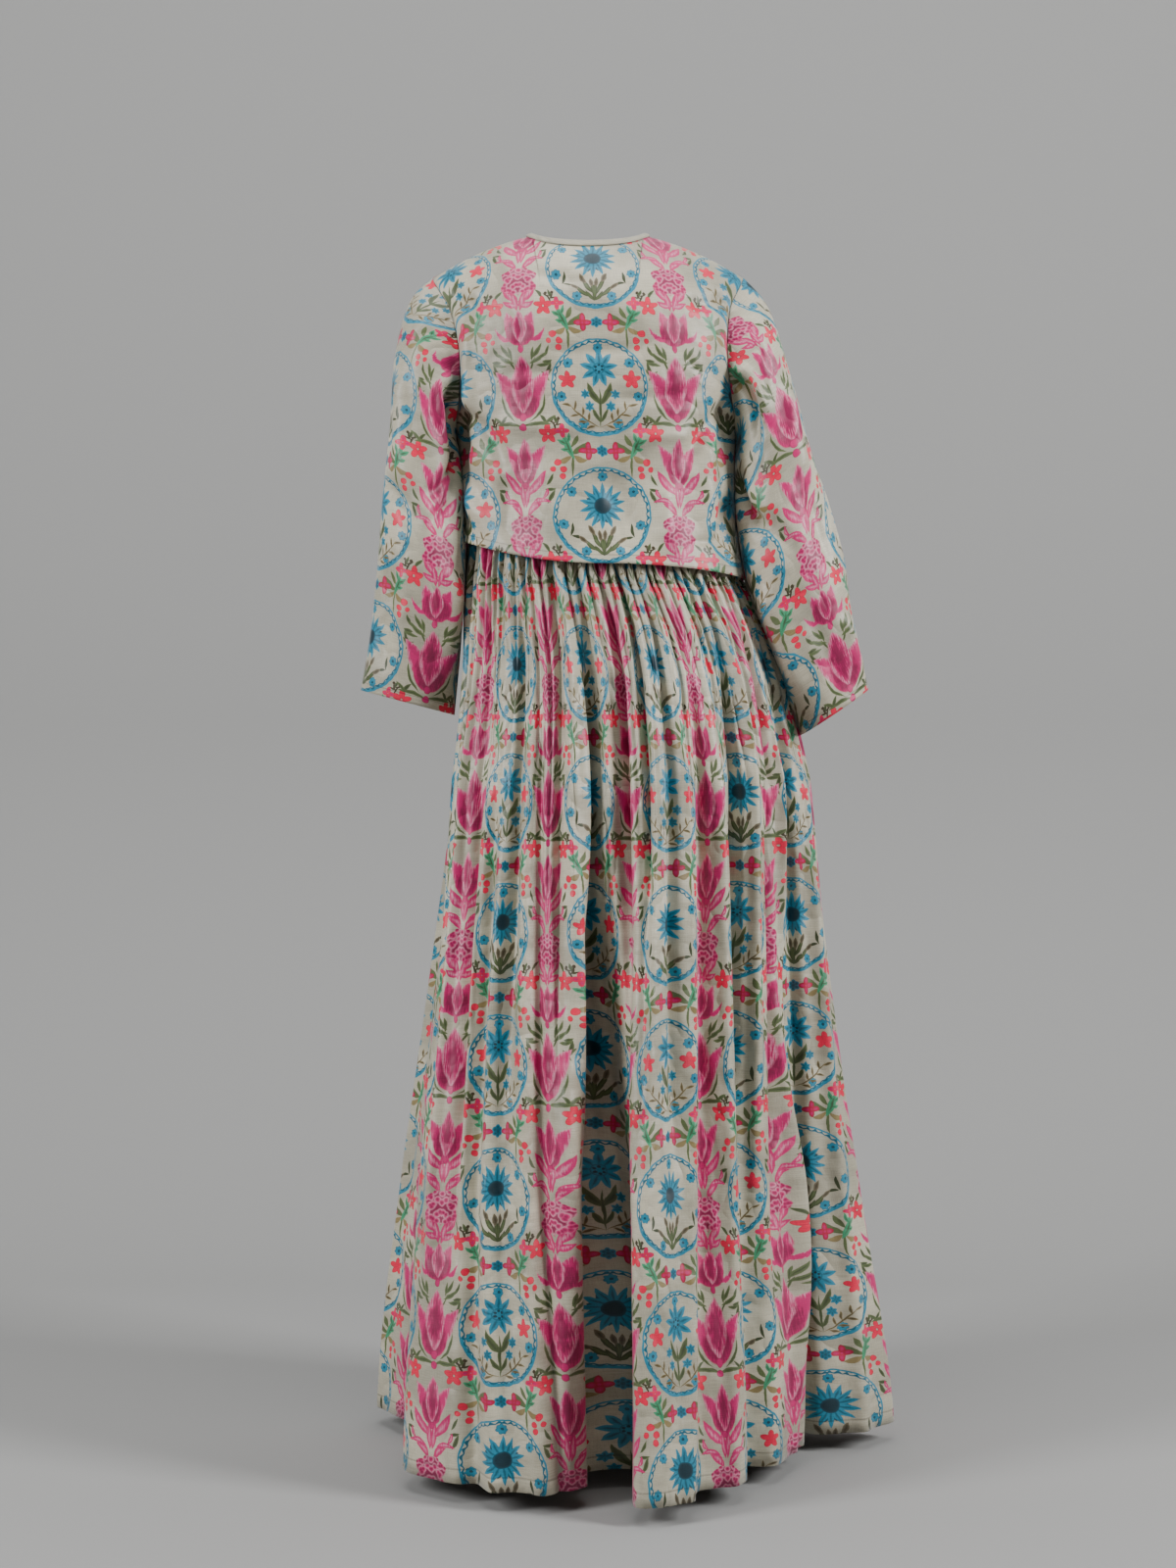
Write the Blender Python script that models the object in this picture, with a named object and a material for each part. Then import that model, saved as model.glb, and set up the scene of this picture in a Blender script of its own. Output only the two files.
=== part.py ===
"""Anarkali gown in its worn, hollow form, with nobody in it.

A loose cropped bodice with bracelet sleeves is cut from a back, a front and two
sleeves. The skirt is a back and a front panel, gathered and sewn to the inside of the
bodice a little above its free hem. A bias strip binds the neck. Metres, +Z up, the
wearer faces -Y, and +X is the wearer's left. The origin is the middle of the neck
opening at the height of the shoulder seams, where the wearer holds the gown up.
"""

import math
from collections import namedtuple

import bmesh
import bpy

# ---- Driving sizes, in metres
CLOTH = 0.0015  # wall of the silk, with its turned edges
SEAM_GAP = 0.0006  # between two pieces that are sewn together
BACK, FRONT = 1, -1
LEFT, RIGHT = 1, -1

NECK_HALF = 0.066  # half the width of the neck opening
SHOULDER_HALF = 0.187  # half of shoulder tip to shoulder tip
SHOULDER_DROP = 0.050  # shoulder tip below the inner end of the shoulder seam
SHOULDER_ROUND = 0.125  # height over which the shoulder rounds into back and chest
BACK_NECK_DROP = 0.018
FRONT_NECK_DROP = 0.115
UNDERARM = -0.235  # height of the bottom of the armhole
SQUARENESS = 2.3  # of a level section: 2 is an ellipse, more is squarer

BODICE_HEM_LEFT = -0.368
BODICE_HEM_MIDDLE = -0.401
BODICE_HEM_RIGHT = -0.414
WAIST_SEAM = -0.350  # where the gathered skirt is sewn inside the bodice
SKIRT_HEM = -1.447

GATHER_DEPTH = 0.0040  # of the pleats at the waist seam, each way
GATHER_FADE = 0.16  # share of the skirt's length over which they run out
BINDING_WIDTH = 0.008
BINDING_CLOTH = 0.0010
SLEEVE_CLEARANCE = 0.004  # from a sleeve's wall to the cloth it lies against

# ---- Fineness of the faceted cloth
NECK_COLUMNS = 10  # of a bodice panel's columns, those under the neck opening
SHOULDER_COLUMNS = 8  # those on each side of it
HEM_ROWS = 5  # those from the hem to the underarm
ARMHOLE_ROWS = 5  # those from there to the shoulder seam
SLEEVE_COLUMNS = 4 * ARMHOLE_ROWS
SLEEVE_ROWS = 11
SKIRT_ROWS = 11
SKIRT_ROW_EASE = 1.2  # over 1, so that its rows are closer at the waist
SKIRT_STEPS = 3  # columns between two fold lines
BINDING_COLUMNS = 40

# The bodice's level sections. Depths are back and forward from the shoulder seams.
Torso = namedtuple("Torso", "height centre half_width back_depth front_depth")
TORSO = (
    Torso(0.000, 0.000, 0.195, 0.104, 0.094),
    Torso(-0.050, -0.001, 0.194, 0.110, 0.104),
    Torso(-0.140, -0.006, 0.181, 0.117, 0.122),
    Torso(-0.235, -0.010, 0.169, 0.115, 0.134),
    Torso(-0.300, -0.012, 0.166, 0.110, 0.131),
    Torso(-0.360, -0.012, 0.169, 0.112, 0.126),
    Torso(-0.415, -0.015, 0.174, 0.121, 0.126),
)

# The armhole edge of back and front: how far out it lies at each height.
ArmholeEdge = namedtuple("ArmholeEdge", "height half_width")
ARMHOLE = (
    ArmholeEdge(-0.050, 0.187),
    ArmholeEdge(-0.095, 0.166),
    ArmholeEdge(-0.150, 0.158),
    ArmholeEdge(-0.205, 0.162),
    ArmholeEdge(-0.235, 0.169),
)

# Rings of each sleeve below the armhole, as distances out from the middle of the gown.
SleeveRing = namedtuple(
    "SleeveRing", "inner_x inner_z outer_x outer_z middle_y half_depth"
)
LEFT_SLEEVE = (
    SleeveRing(0.166, -0.243, 0.213, -0.078, 0.004, 0.068),
    SleeveRing(0.162, -0.252, 0.232, -0.146, 0.010, 0.065),
    SleeveRing(0.158, -0.270, 0.238, -0.236, 0.018, 0.060),
    SleeveRing(0.152, -0.325, 0.246, -0.319, 0.027, 0.055),
    SleeveRing(0.151, -0.400, 0.252, -0.400, 0.031, 0.052),
    SleeveRing(0.154, -0.480, 0.261, -0.478, 0.023, 0.048),
    SleeveRing(0.161, -0.577, 0.274, -0.547, 0.008, 0.044),
)
RIGHT_SLEEVE = (
    SleeveRing(0.182, -0.243, 0.216, -0.086, 0.004, 0.068),
    SleeveRing(0.182, -0.256, 0.243, -0.168, 0.010, 0.065),
    SleeveRing(0.184, -0.285, 0.263, -0.244, 0.017, 0.060),
    SleeveRing(0.188, -0.345, 0.285, -0.325, 0.024, 0.055),
    SleeveRing(0.200, -0.415, 0.304, -0.400, 0.026, 0.052),
    SleeveRing(0.222, -0.495, 0.322, -0.478, 0.020, 0.048),
    SleeveRing(0.257, -0.601, 0.338, -0.546, 0.008, 0.044),
)

# The skirt's mean outline at each height, before its folds. Just below the waist seam
# it follows the inside of the bodice.
Outline = namedtuple("Outline", "height centre_x centre_y half_width back front")
SKIRT_OUTLINE = (
    Outline(-0.350, -0.012, 0.000, 0.1605, 0.104, 0.119),
    Outline(-0.412, -0.016, 0.001, 0.1620, 0.108, 0.116),
    Outline(-0.435, -0.022, 0.002, 0.1680, 0.113, 0.120),
    Outline(-0.475, -0.031, 0.004, 0.1800, 0.122, 0.130),
    Outline(-0.533, -0.040, 0.006, 0.1920, 0.134, 0.141),
    Outline(-0.652, -0.046, 0.010, 0.2110, 0.158, 0.160),
    Outline(-0.890, -0.047, 0.016, 0.2350, 0.195, 0.192),
    Outline(-1.128, -0.050, 0.023, 0.2640, 0.232, 0.224),
    Outline(-1.447, -0.060, 0.030, 0.3000, 0.268, 0.262),
)

# Ridge and valley lines of the skirt, round from the left side seam by way of the
# back. Turns are in degrees from straight back towards the wearer's left, and a
# line's reach is its distance from the middle of the hem.
FoldLine = namedtuple("FoldLine", "name waist_turn hem_turn reach")
BACK_FOLDS = (
    FoldLine("left_seam", 88, 92, 0.232),
    FoldLine("left_lobe_edge", 76, 66, 0.300),
    FoldLine("left_lobe_outer", 62, 52, 0.290),
    FoldLine("left_lobe_middle", 48, 39, 0.272),
    FoldLine("left_lobe_inner", 34, 28, 0.258),
    FoldLine("left_lobe_lip", 21, 20, 0.238),
    FoldLine("recess_under_lip", 15, 22, 0.172),
    FoldLine("recess_floor", 7, 11, 0.162),
    FoldLine("recess_foot", -1, 3, 0.188),
    FoldLine("middle_lobe_edge", -8, 2, 0.258),
    FoldLine("middle_lobe_crest", -16, -5, 0.280),
    FoldLine("middle_lobe_flank", -24, -13, 0.245),
    FoldLine("middle_lobe_tail", -32, -23, 0.222),
    FoldLine("small_step_lip", -40, -34, 0.214),
    FoldLine("small_step_valley", -48, -43, 0.172),
    FoldLine("small_lobe", -56, -53, 0.198),
    FoldLine("small_lobe_tail", -64, -72, 0.190),
    FoldLine("right_valley", -71, -88, 0.186),
    FoldLine("right_lobe_face", -77, -95, 0.258),
    FoldLine("right_lobe_tip", -84, -103, 0.326),
)
FRONT_FOLDS = (
    FoldLine("right_seam", -91, -111, 0.278),
    FoldLine("right_front_valley", -101, -123, 0.222),
    FoldLine("right_front_lobe", -114, -138, 0.300),
    FoldLine("right_front_tail", -126, -151, 0.284),
    FoldLine("front_right_valley", -138, -162, 0.208),
    FoldLine("front_lobe", -152, -174, 0.284),
    FoldLine("front_lobe_tail", -164, -186, 0.290),
    FoldLine("front_left_valley", -176, -196, 0.214),
    FoldLine("front_left_foot", -187, -205, 0.204),
    FoldLine("left_front_lobe", -199, -215, 0.292),
    FoldLine("left_front_tail", -211, -226, 0.306),
    FoldLine("left_front_valley", -223, -233, 0.238),
    FoldLine("left_far_lobe_edge", -234, -238, 0.342),
    FoldLine("left_far_lobe", -245, -246, 0.350),
    FoldLine("left_far_tail", -258, -257, 0.285),
)
FOLDS = BACK_FOLDS + FRONT_FOLDS
FOLD_START = 0.05  # share of the way down, about the bodice's hem
FOLD_GROWTH = 0.75  # under 1, so that the folds open soon below it

SILK = (0.52, 0.50, 0.44, 1.0)  # greige ground of the printed silk


def mix(a, b, share):
    return a + (b - a) * share


def smooth_between(before, start, end, after, share):
    """A value on the smooth curve through four, share of the way from start to end."""
    turn = 2 * before - 5 * start + 4 * end - after
    bend = 3 * (start - end) + after - before
    return start + 0.5 * share * (end - before + share * (turn + share * bend))


def read(table, column, height):
    """A table's column at any height, on a smooth curve through its rows, top row first."""
    last = len(table) - 1
    row = 0
    while row < last - 1 and height < table[row + 1].height:
        row += 1
    top, bottom = table[row].height, table[row + 1].height
    share = min(max((top - height) / (top - bottom), 0.0), 1.0)
    around = (max(row - 1, 0), row, row + 1, min(row + 2, last))
    return smooth_between(*(getattr(table[r], column) for r in around), share)


# ---- Bodice


def bodice_hem(across):
    """Height of the free hem, across from -1 at the wearer's right to 1 at the left."""
    side = BODICE_HEM_LEFT if across > 0 else BODICE_HEM_RIGHT
    return mix(BODICE_HEM_MIDDLE, side, across * across)


def shoulder_height(x):
    """Height of the shoulder line, a shallow arch that passes over the neck opening."""
    arch = (x**2 - NECK_HALF**2) / (SHOULDER_HALF**2 - NECK_HALF**2)
    return -SHOULDER_DROP * arch


def neck_drop(face):
    return BACK_NECK_DROP if face == BACK else FRONT_NECK_DROP


def torso_point(face, x, height):
    """The point of the back or the chest at this x and height."""
    half = read(TORSO, "half_width", height)
    out = min(abs(x - read(TORSO, "centre", height)) / half, 1.0)
    depth = read(TORSO, "back_depth" if face == BACK else "front_depth", height)
    below = min(max((shoulder_height(x) - height) / SHOULDER_ROUND, 0.0), 1.0)
    rounding = math.sqrt(1 - (1 - below) ** 2)
    return (
        x,
        face * depth * rounding * (1 - out**SQUARENESS) ** (1 / SQUARENESS),
        height,
    )


def bodice_point(face, across, row):
    """A point of a panel: across from -1 to 1, at a row counted up from the hem."""
    x_at_top = across * SHOULDER_HALF
    top = shoulder_height(x_at_top)
    if abs(x_at_top) < NECK_HALF:
        top = -neck_drop(face) * math.sqrt(1 - (x_at_top / NECK_HALF) ** 2)
    if row > HEM_ROWS:
        share = (row - HEM_ROWS) / ARMHOLE_ROWS
        height = mix(UNDERARM, top, share)
        half = read(ARMHOLE, "half_width", mix(UNDERARM, -SHOULDER_DROP, share))
    else:
        height = mix(bodice_hem(across), UNDERARM, row / HEM_ROWS)
        half = read(TORSO, "half_width", height)
    x = across * half + read(TORSO, "centre", height)
    x, y, height = torso_point(face, x, height)
    return (x, y + face * SEAM_GAP / 2, height)


def column_place(column):
    """Where a column of a bodice panel lies across it: closer by the neck and the sides."""
    neck = NECK_HALF / SHOULDER_HALF
    middle = NECK_COLUMNS / 2 + SHOULDER_COLUMNS
    from_middle = abs(column - middle)
    if from_middle <= NECK_COLUMNS / 2:
        place = neck * math.sin(math.pi * from_middle / NECK_COLUMNS)
    else:
        share = (from_middle - NECK_COLUMNS / 2) / SHOULDER_COLUMNS
        place = mix(neck, 1.0, math.sin(math.pi / 2 * share))
    return math.copysign(place, column - middle)


# ---- Sleeves


def armhole_point(side, round_share):
    """A point of the armhole's facets, round from the underarm by way of the back."""
    face = BACK if round_share <= 0.5 else FRONT
    climb = 1 - abs(1 - 2 * round_share)
    row = math.floor(ARMHOLE_ROWS * climb)
    below = bodice_point(face, side, HEM_ROWS + row)
    above = bodice_point(face, side, HEM_ROWS + row + 1) if climb < 1 else below
    x, y, z = (mix(a, b, ARMHOLE_ROWS * climb - row) for a, b in zip(below, above))
    return (x + side * SEAM_GAP, y, z)


def ring_point(ring, side, round_share):
    turn = 2 * math.pi * round_share
    out = (1 - math.cos(turn)) / 2
    return (
        side * mix(ring.inner_x, ring.outer_x, out),
        ring.middle_y + ring.half_depth * math.sin(turn),
        mix(ring.inner_z, ring.outer_z, out),
    )


def body_edge(side, y, height):
    """How far out the bodice, or the skirt below it, reaches at this y and height."""
    if height > bodice_hem(side):
        table = ARMHOLE if height > UNDERARM else TORSO
        centre = read(TORSO, "centre", height)
        half = read(table, "half_width", height)
        depth = read(TORSO, "back_depth" if y > 0 else "front_depth", height)
    else:
        centre = read(SKIRT_OUTLINE, "centre_x", height)
        half = read(SKIRT_OUTLINE, "half_width", height) + GATHER_DEPTH
        depth = read(SKIRT_OUTLINE, "back" if y > 0 else "front", height)
        depth += GATHER_DEPTH
    inside = max(1 - (abs(y) / depth) ** SQUARENESS, 0.0)
    return side * centre + half * inside ** (1 / SQUARENESS)


def sleeve_point(rings, side, round_share, down):
    """A point of a sleeve: down from 0 at the armhole to 1 at the cuff."""
    stations = [armhole_point(side, round_share)]
    stations += [ring_point(ring, side, round_share) for ring in rings]
    last = len(stations) - 1
    index = min(int(down * last), last - 1)
    share = down * last - index
    around = (max(index - 1, 0), index, index + 1, min(index + 2, last))
    x, y, z = (
        smooth_between(*(stations[s][axis] for s in around), share) for axis in range(3)
    )
    if down > 0:
        x = side * max(side * x, body_edge(side, y, z) + CLOTH + SLEEVE_CLEARANCE)
    return (x, y, z)


# ---- Skirt


def outline_reach(turn, height):
    """Distance from the middle out to the skirt's mean outline, at this turn."""
    half = read(SKIRT_OUTLINE, "half_width", height)
    depth = read(SKIRT_OUTLINE, "back" if math.cos(turn) > 0 else "front", height)
    across = abs(math.sin(turn)) / half
    along = abs(math.cos(turn)) / depth
    return (across**SQUARENESS + along**SQUARENESS) ** (-1 / SQUARENESS)


def line_place(line, turns, down):
    """A fold line's turn and reach at a share of the way down; turns are whole circles."""
    height = mix(WAIST_SEAM, SKIRT_HEM, down)
    turn = math.radians(mix(line.waist_turn, line.hem_turn, down) - 360 * turns)
    stands_out = line.reach / outline_reach(math.radians(line.hem_turn), SKIRT_HEM)
    growth = (max(down - FOLD_START, 0.0) / (1 - FOLD_START)) ** FOLD_GROWTH
    return turn, outline_reach(turn, height) * mix(1.0, stands_out, growth)


def skirt_point(along, down):
    """A point of the skirt: along counts the fold lines round from the left seam."""
    height = mix(WAIST_SEAM, SKIRT_HEM, down)
    middle = [read(SKIRT_OUTLINE, axis, height) for axis in ("centre_x", "centre_y")]
    first = math.floor(along)
    corners = []
    for index in range(first - 1, first + 3):
        turn, reach = line_place(FOLDS[index % len(FOLDS)], index // len(FOLDS), down)
        corners.append((reach * math.sin(turn), reach * math.cos(turn)))
    x, y = (
        smooth_between(*(corner[axis] for corner in corners), along - first)
        for axis in range(2)
    )
    fade = max(1 - down / GATHER_FADE, 0.0)
    pleat = GATHER_DEPTH * fade * math.cos(math.pi * SKIRT_STEPS * along)
    out = 1 + pleat / math.hypot(x, y)
    return (middle[0] + x * out, middle[1] + y * out, height)


# ---- Making the pieces


def silk(name, colour):
    material = bpy.data.materials.new(name)
    material.use_nodes = True
    shader = material.node_tree.nodes["Principled BSDF"]
    shader.inputs["Base Color"].default_value = colour
    shader.inputs["Roughness"].default_value = 0.55
    shader.inputs["Metallic"].default_value = 0.0
    return material


def lay_grid(columns, rows, place):
    """A sheet of squares whose corners are laid in place by column and row."""
    sheet = bmesh.new()
    corners = {
        (column, row): sheet.verts.new(place(column, row))
        for column in columns
        for row in range(rows + 1)
    }
    for column in columns[:-1]:
        for row in range(rows):
            face = sheet.faces.new(
                (
                    corners[column, row],
                    corners[column + 1, row],
                    corners[column + 1, row + 1],
                    corners[column, row + 1],
                )
            )
            face.smooth = True
    return sheet, corners


def cut_piece(
    name, columns, rows, place, material, wall=CLOTH, neighbour=0, keep_to=None
):
    """A piece of cloth: a grid whose wall goes inwards from the points that place gives.

    place takes a column and a row, and the row counts up. With a neighbour column on
    each side the wall leans at a side edge as the neighbour's does, and the two stay
    clear of each other; that column is then cut off. A piece that keeps to the back or
    the front has its whole wall on that side of the seams. A grid whose side edges
    meet becomes a tube.
    """
    sheet, corners = lay_grid(range(-neighbour, columns + neighbour + 1), rows, place)
    bmesh.ops.remove_doubles(sheet, verts=sheet.verts, dist=1e-6)
    sheet.normal_update()
    inner_places = {
        corner: corner.co - corner.normal * wall * corner.calc_shell_factor()
        for corner in sheet.verts
    }
    if keep_to:
        for inner_place in inner_places.values():
            inner_place.y = keep_to * max(keep_to * inner_place.y, SEAM_GAP / 2)
    if neighbour:
        beyond = [
            corner
            for (column, _), corner in corners.items()
            if not 0 <= column <= columns
        ]
        bmesh.ops.delete(sheet, geom=beyond, context="VERTS")
    outer_faces = list(sheet.faces)
    rims = [edge for edge in sheet.edges if edge.is_boundary]
    inner = {corner: sheet.verts.new(inner_places[corner]) for corner in list(sheet.verts)}
    for edge in rims:
        loop = edge.link_loops[0]
        start, end = loop.vert, loop.link_loop_next.vert
        sheet.faces.new((end, start, inner[start], inner[end]))
    for face in outer_faces:
        inner_face = sheet.faces.new([inner[corner] for corner in reversed(face.verts)])
        inner_face.smooth = True
    mesh = bpy.data.meshes.new(name)
    sheet.to_mesh(mesh)
    sheet.free()
    mesh.materials.append(material)
    piece = bpy.data.objects.new(name, mesh)
    bpy.context.scene.collection.objects.link(piece)
    return piece


def make_bodice_panel(name, face, material):
    columns = NECK_COLUMNS + 2 * SHOULDER_COLUMNS

    def place(column, row):
        return bodice_point(face, -face * column_place(column), row)

    rows = HEM_ROWS + ARMHOLE_ROWS
    cut_piece(name, columns, rows, place, material, keep_to=face)


def make_sleeve(name, rings, side, material):
    def place(column, row):
        round_share = (-side * column / SLEEVE_COLUMNS) % 1.0
        return sleeve_point(rings, side, round_share, 1 - row / SLEEVE_ROWS)

    cut_piece(name, SLEEVE_COLUMNS, SLEEVE_ROWS, place, material)


def make_skirt_panel(name, first, last, material):
    """A panel from one side seam to the next, which lie on two of the fold lines."""
    columns = (last - first) * SKIRT_STEPS

    def place(column, row):
        down = (1 - row / SKIRT_ROWS) ** SKIRT_ROW_EASE
        along = first + column / SKIRT_STEPS
        if column in (0, columns):
            step = math.dist(skirt_point(along, down), skirt_point(along + 1, down))
            inwards = 1 if column == 0 else -1
            along += inwards * SEAM_GAP / 2 / step
        return skirt_point(along, down)

    cut_piece(name, columns, SKIRT_ROWS, place, material, neighbour=1)


def make_neck_binding(material):
    """A strip round the neck that lies on the panels' own points, moved out from them."""

    def place(column, row):
        face = BACK if column <= BINDING_COLUMNS / 2 else FRONT
        turn = 4 * math.pi * column / BINDING_COLUMNS / 2
        wide = BINDING_WIDTH * (1 - row)
        x = -(NECK_HALF + wide) * math.cos(turn)
        fall = (neck_drop(face) + wide) * abs(math.sin(turn))
        x, y, z = torso_point(face, x, min(shoulder_height(x), 0.0) - fall)
        lift = (SEAM_GAP + BINDING_CLOTH) / math.hypot(y, z + SHOULDER_ROUND)
        return (x, y * (1 + lift), z + (z + SHOULDER_ROUND) * lift)

    cut_piece("neck_binding", BINDING_COLUMNS, 1, place, material, BINDING_CLOTH)


def main():
    for thing in list(bpy.data.objects):
        bpy.data.objects.remove(thing)
    printed = silk("printed_silk", SILK)
    make_bodice_panel("bodice_back", BACK, printed)
    make_bodice_panel("bodice_front", FRONT, printed)
    make_sleeve("sleeve_left", LEFT_SLEEVE, LEFT, printed)
    make_sleeve("sleeve_right", RIGHT_SLEEVE, RIGHT, printed)
    make_neck_binding(printed)
    make_skirt_panel("skirt_back", 0, len(BACK_FOLDS), printed)
    make_skirt_panel("skirt_front", len(BACK_FOLDS), len(FOLDS), printed)


main()
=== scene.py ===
"""Looks of the anarkali gown: printed silk sheets on the forms of its solids.

Every piece is one sheet of cloth, laid out from the sections and fold lines of its
solid, with gathers, creases and hems added. Its UV map is its cut, in metres, so the
print keeps its real scale, but for the shifts of the skirt's print given below.
"""

import math
from collections import namedtuple

import bpy
import numpy as np
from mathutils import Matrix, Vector


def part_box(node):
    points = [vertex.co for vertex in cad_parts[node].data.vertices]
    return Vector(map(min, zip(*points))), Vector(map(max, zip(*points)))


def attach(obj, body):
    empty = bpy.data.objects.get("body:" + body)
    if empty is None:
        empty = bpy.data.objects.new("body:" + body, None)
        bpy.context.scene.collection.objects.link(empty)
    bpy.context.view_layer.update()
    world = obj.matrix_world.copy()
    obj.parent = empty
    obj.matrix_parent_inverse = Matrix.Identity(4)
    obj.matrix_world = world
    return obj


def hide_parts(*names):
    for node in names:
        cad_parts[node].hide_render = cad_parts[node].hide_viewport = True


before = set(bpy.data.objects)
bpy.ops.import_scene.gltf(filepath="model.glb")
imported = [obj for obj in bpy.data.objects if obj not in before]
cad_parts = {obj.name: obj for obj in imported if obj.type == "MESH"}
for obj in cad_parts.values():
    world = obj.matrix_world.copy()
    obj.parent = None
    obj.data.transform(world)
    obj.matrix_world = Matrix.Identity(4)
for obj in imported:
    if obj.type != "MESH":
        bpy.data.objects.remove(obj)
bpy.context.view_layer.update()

bl_info = {
    "name": "Anarkali Gown",
    "version": (1, 0, 0),
    "blender": (4, 5, 0),
    "location": "3D View > Sidebar > Gown",
    "description": "Makes the printed silk pieces of a worn anarkali gown and its studio",
    "category": "Add Mesh",
}

BACK, FRONT = 1, -1
LEFT, RIGHT = 1, -1
CUT_MAP = "cut"  # the UV map that holds a piece's flat cut, in metres
SEWING_MAP = "sewing"  # distances from hem and side, in widths of the turning there

# ---- Form of the solids, in metres

SEAM_GAP = 0.0006
NECK_HALF = 0.066
SHOULDER_HALF = 0.187
SHOULDER_DROP = 0.050
SHOULDER_ROUND = 0.125
BACK_NECK_DROP = 0.018
FRONT_NECK_DROP = 0.115
UNDERARM = -0.235
SQUARENESS = 2.3
BODICE_HEM_LEFT = -0.368
BODICE_HEM_MIDDLE = -0.401
BODICE_HEM_RIGHT = -0.414
WAIST_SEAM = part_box("skirt_back")[1].z
SKIRT_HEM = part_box("skirt_back")[0].z
GATHER_DEPTH = 0.0040
NECK_COLUMNS = 10
SHOULDER_COLUMNS = 8
BODICE_COLUMNS = NECK_COLUMNS + 2 * SHOULDER_COLUMNS
HEM_ROWS = 5
ARMHOLE_ROWS = 5
BODICE_ROWS = HEM_ROWS + ARMHOLE_ROWS

Torso = namedtuple("Torso", "height centre half_width back_depth front_depth")
TORSO = (
    Torso(0.000, 0.000, 0.195, 0.104, 0.094),
    Torso(-0.050, -0.001, 0.194, 0.110, 0.104),
    Torso(-0.140, -0.006, 0.181, 0.117, 0.122),
    Torso(-0.235, -0.010, 0.169, 0.115, 0.134),
    Torso(-0.300, -0.012, 0.166, 0.110, 0.131),
    Torso(-0.360, -0.012, 0.169, 0.112, 0.126),
    Torso(-0.415, -0.015, 0.174, 0.121, 0.126),
)
ArmholeEdge = namedtuple("ArmholeEdge", "height half_width")
ARMHOLE = (
    ArmholeEdge(-0.050, 0.187),
    ArmholeEdge(-0.095, 0.166),
    ArmholeEdge(-0.150, 0.158),
    ArmholeEdge(-0.205, 0.162),
    ArmholeEdge(-0.235, 0.169),
)
SleeveRing = namedtuple(
    "SleeveRing", "inner_x inner_z outer_x outer_z middle_y half_depth"
)
# The inner edges lie up to 13 mm nearer the body than those of the sleeves' solids,
# which keep a clearance that would show as a gap of light.
SLEEVE_RINGS = {
    LEFT: (
        SleeveRing(0.157, -0.243, 0.213, -0.078, 0.004, 0.068),
        SleeveRing(0.156, -0.252, 0.232, -0.146, 0.010, 0.065),
        SleeveRing(0.152, -0.270, 0.238, -0.236, 0.018, 0.060),
        SleeveRing(0.147, -0.325, 0.246, -0.319, 0.027, 0.055),
        SleeveRing(0.146, -0.400, 0.252, -0.400, 0.031, 0.052),
        SleeveRing(0.151, -0.480, 0.261, -0.478, 0.023, 0.048),
        SleeveRing(0.161, -0.577, 0.274, -0.547, 0.008, 0.044),
    ),
    RIGHT: (
        SleeveRing(0.175, -0.243, 0.216, -0.086, 0.004, 0.068),
        SleeveRing(0.177, -0.256, 0.243, -0.168, 0.010, 0.065),
        SleeveRing(0.175, -0.285, 0.263, -0.244, 0.017, 0.060),
        SleeveRing(0.177, -0.345, 0.285, -0.325, 0.024, 0.055),
        SleeveRing(0.187, -0.415, 0.304, -0.400, 0.026, 0.052),
        SleeveRing(0.214, -0.495, 0.322, -0.478, 0.020, 0.048),
        SleeveRing(0.257, -0.601, 0.338, -0.546, 0.008, 0.044),
    ),
}
SLEEVE_CLEARANCE = 0.0005
Outline = namedtuple("Outline", "height centre_x centre_y half_width back front")
SKIRT_OUTLINE = (
    Outline(-0.350, -0.012, 0.000, 0.1605, 0.104, 0.119),
    Outline(-0.412, -0.016, 0.001, 0.1620, 0.108, 0.116),
    Outline(-0.435, -0.022, 0.002, 0.1680, 0.113, 0.120),
    Outline(-0.475, -0.031, 0.004, 0.1800, 0.122, 0.130),
    Outline(-0.533, -0.040, 0.006, 0.1920, 0.134, 0.141),
    Outline(-0.652, -0.046, 0.010, 0.2110, 0.158, 0.160),
    Outline(-0.890, -0.047, 0.016, 0.2350, 0.195, 0.192),
    Outline(-1.128, -0.050, 0.023, 0.2640, 0.232, 0.224),
    Outline(-1.447, -0.060, 0.030, 0.3000, 0.268, 0.262),
)
FoldLine = namedtuple("FoldLine", "name waist_turn hem_turn reach")
BACK_FOLDS = (
    FoldLine("left_seam", 88, 92, 0.232),
    FoldLine("left_lobe_edge", 76, 66, 0.300),
    FoldLine("left_lobe_outer", 62, 52, 0.290),
    FoldLine("left_lobe_middle", 48, 39, 0.272),
    FoldLine("left_lobe_inner", 34, 28, 0.258),
    FoldLine("left_lobe_lip", 21, 20, 0.238),
    FoldLine("recess_under_lip", 15, 22, 0.172),
    FoldLine("recess_floor", 7, 11, 0.162),
    FoldLine("recess_foot", -1, 3, 0.188),
    FoldLine("middle_lobe_edge", -8, 2, 0.258),
    FoldLine("middle_lobe_crest", -16, -5, 0.280),
    FoldLine("middle_lobe_flank", -24, -13, 0.245),
    FoldLine("middle_lobe_tail", -32, -23, 0.222),
    FoldLine("small_step_lip", -40, -34, 0.214),
    FoldLine("small_step_valley", -48, -43, 0.172),
    FoldLine("small_lobe", -56, -53, 0.198),
    FoldLine("small_lobe_tail", -64, -72, 0.190),
    FoldLine("right_valley", -71, -88, 0.186),
    FoldLine("right_lobe_face", -77, -95, 0.258),
    FoldLine("right_lobe_tip", -84, -103, 0.326),
)
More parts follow.
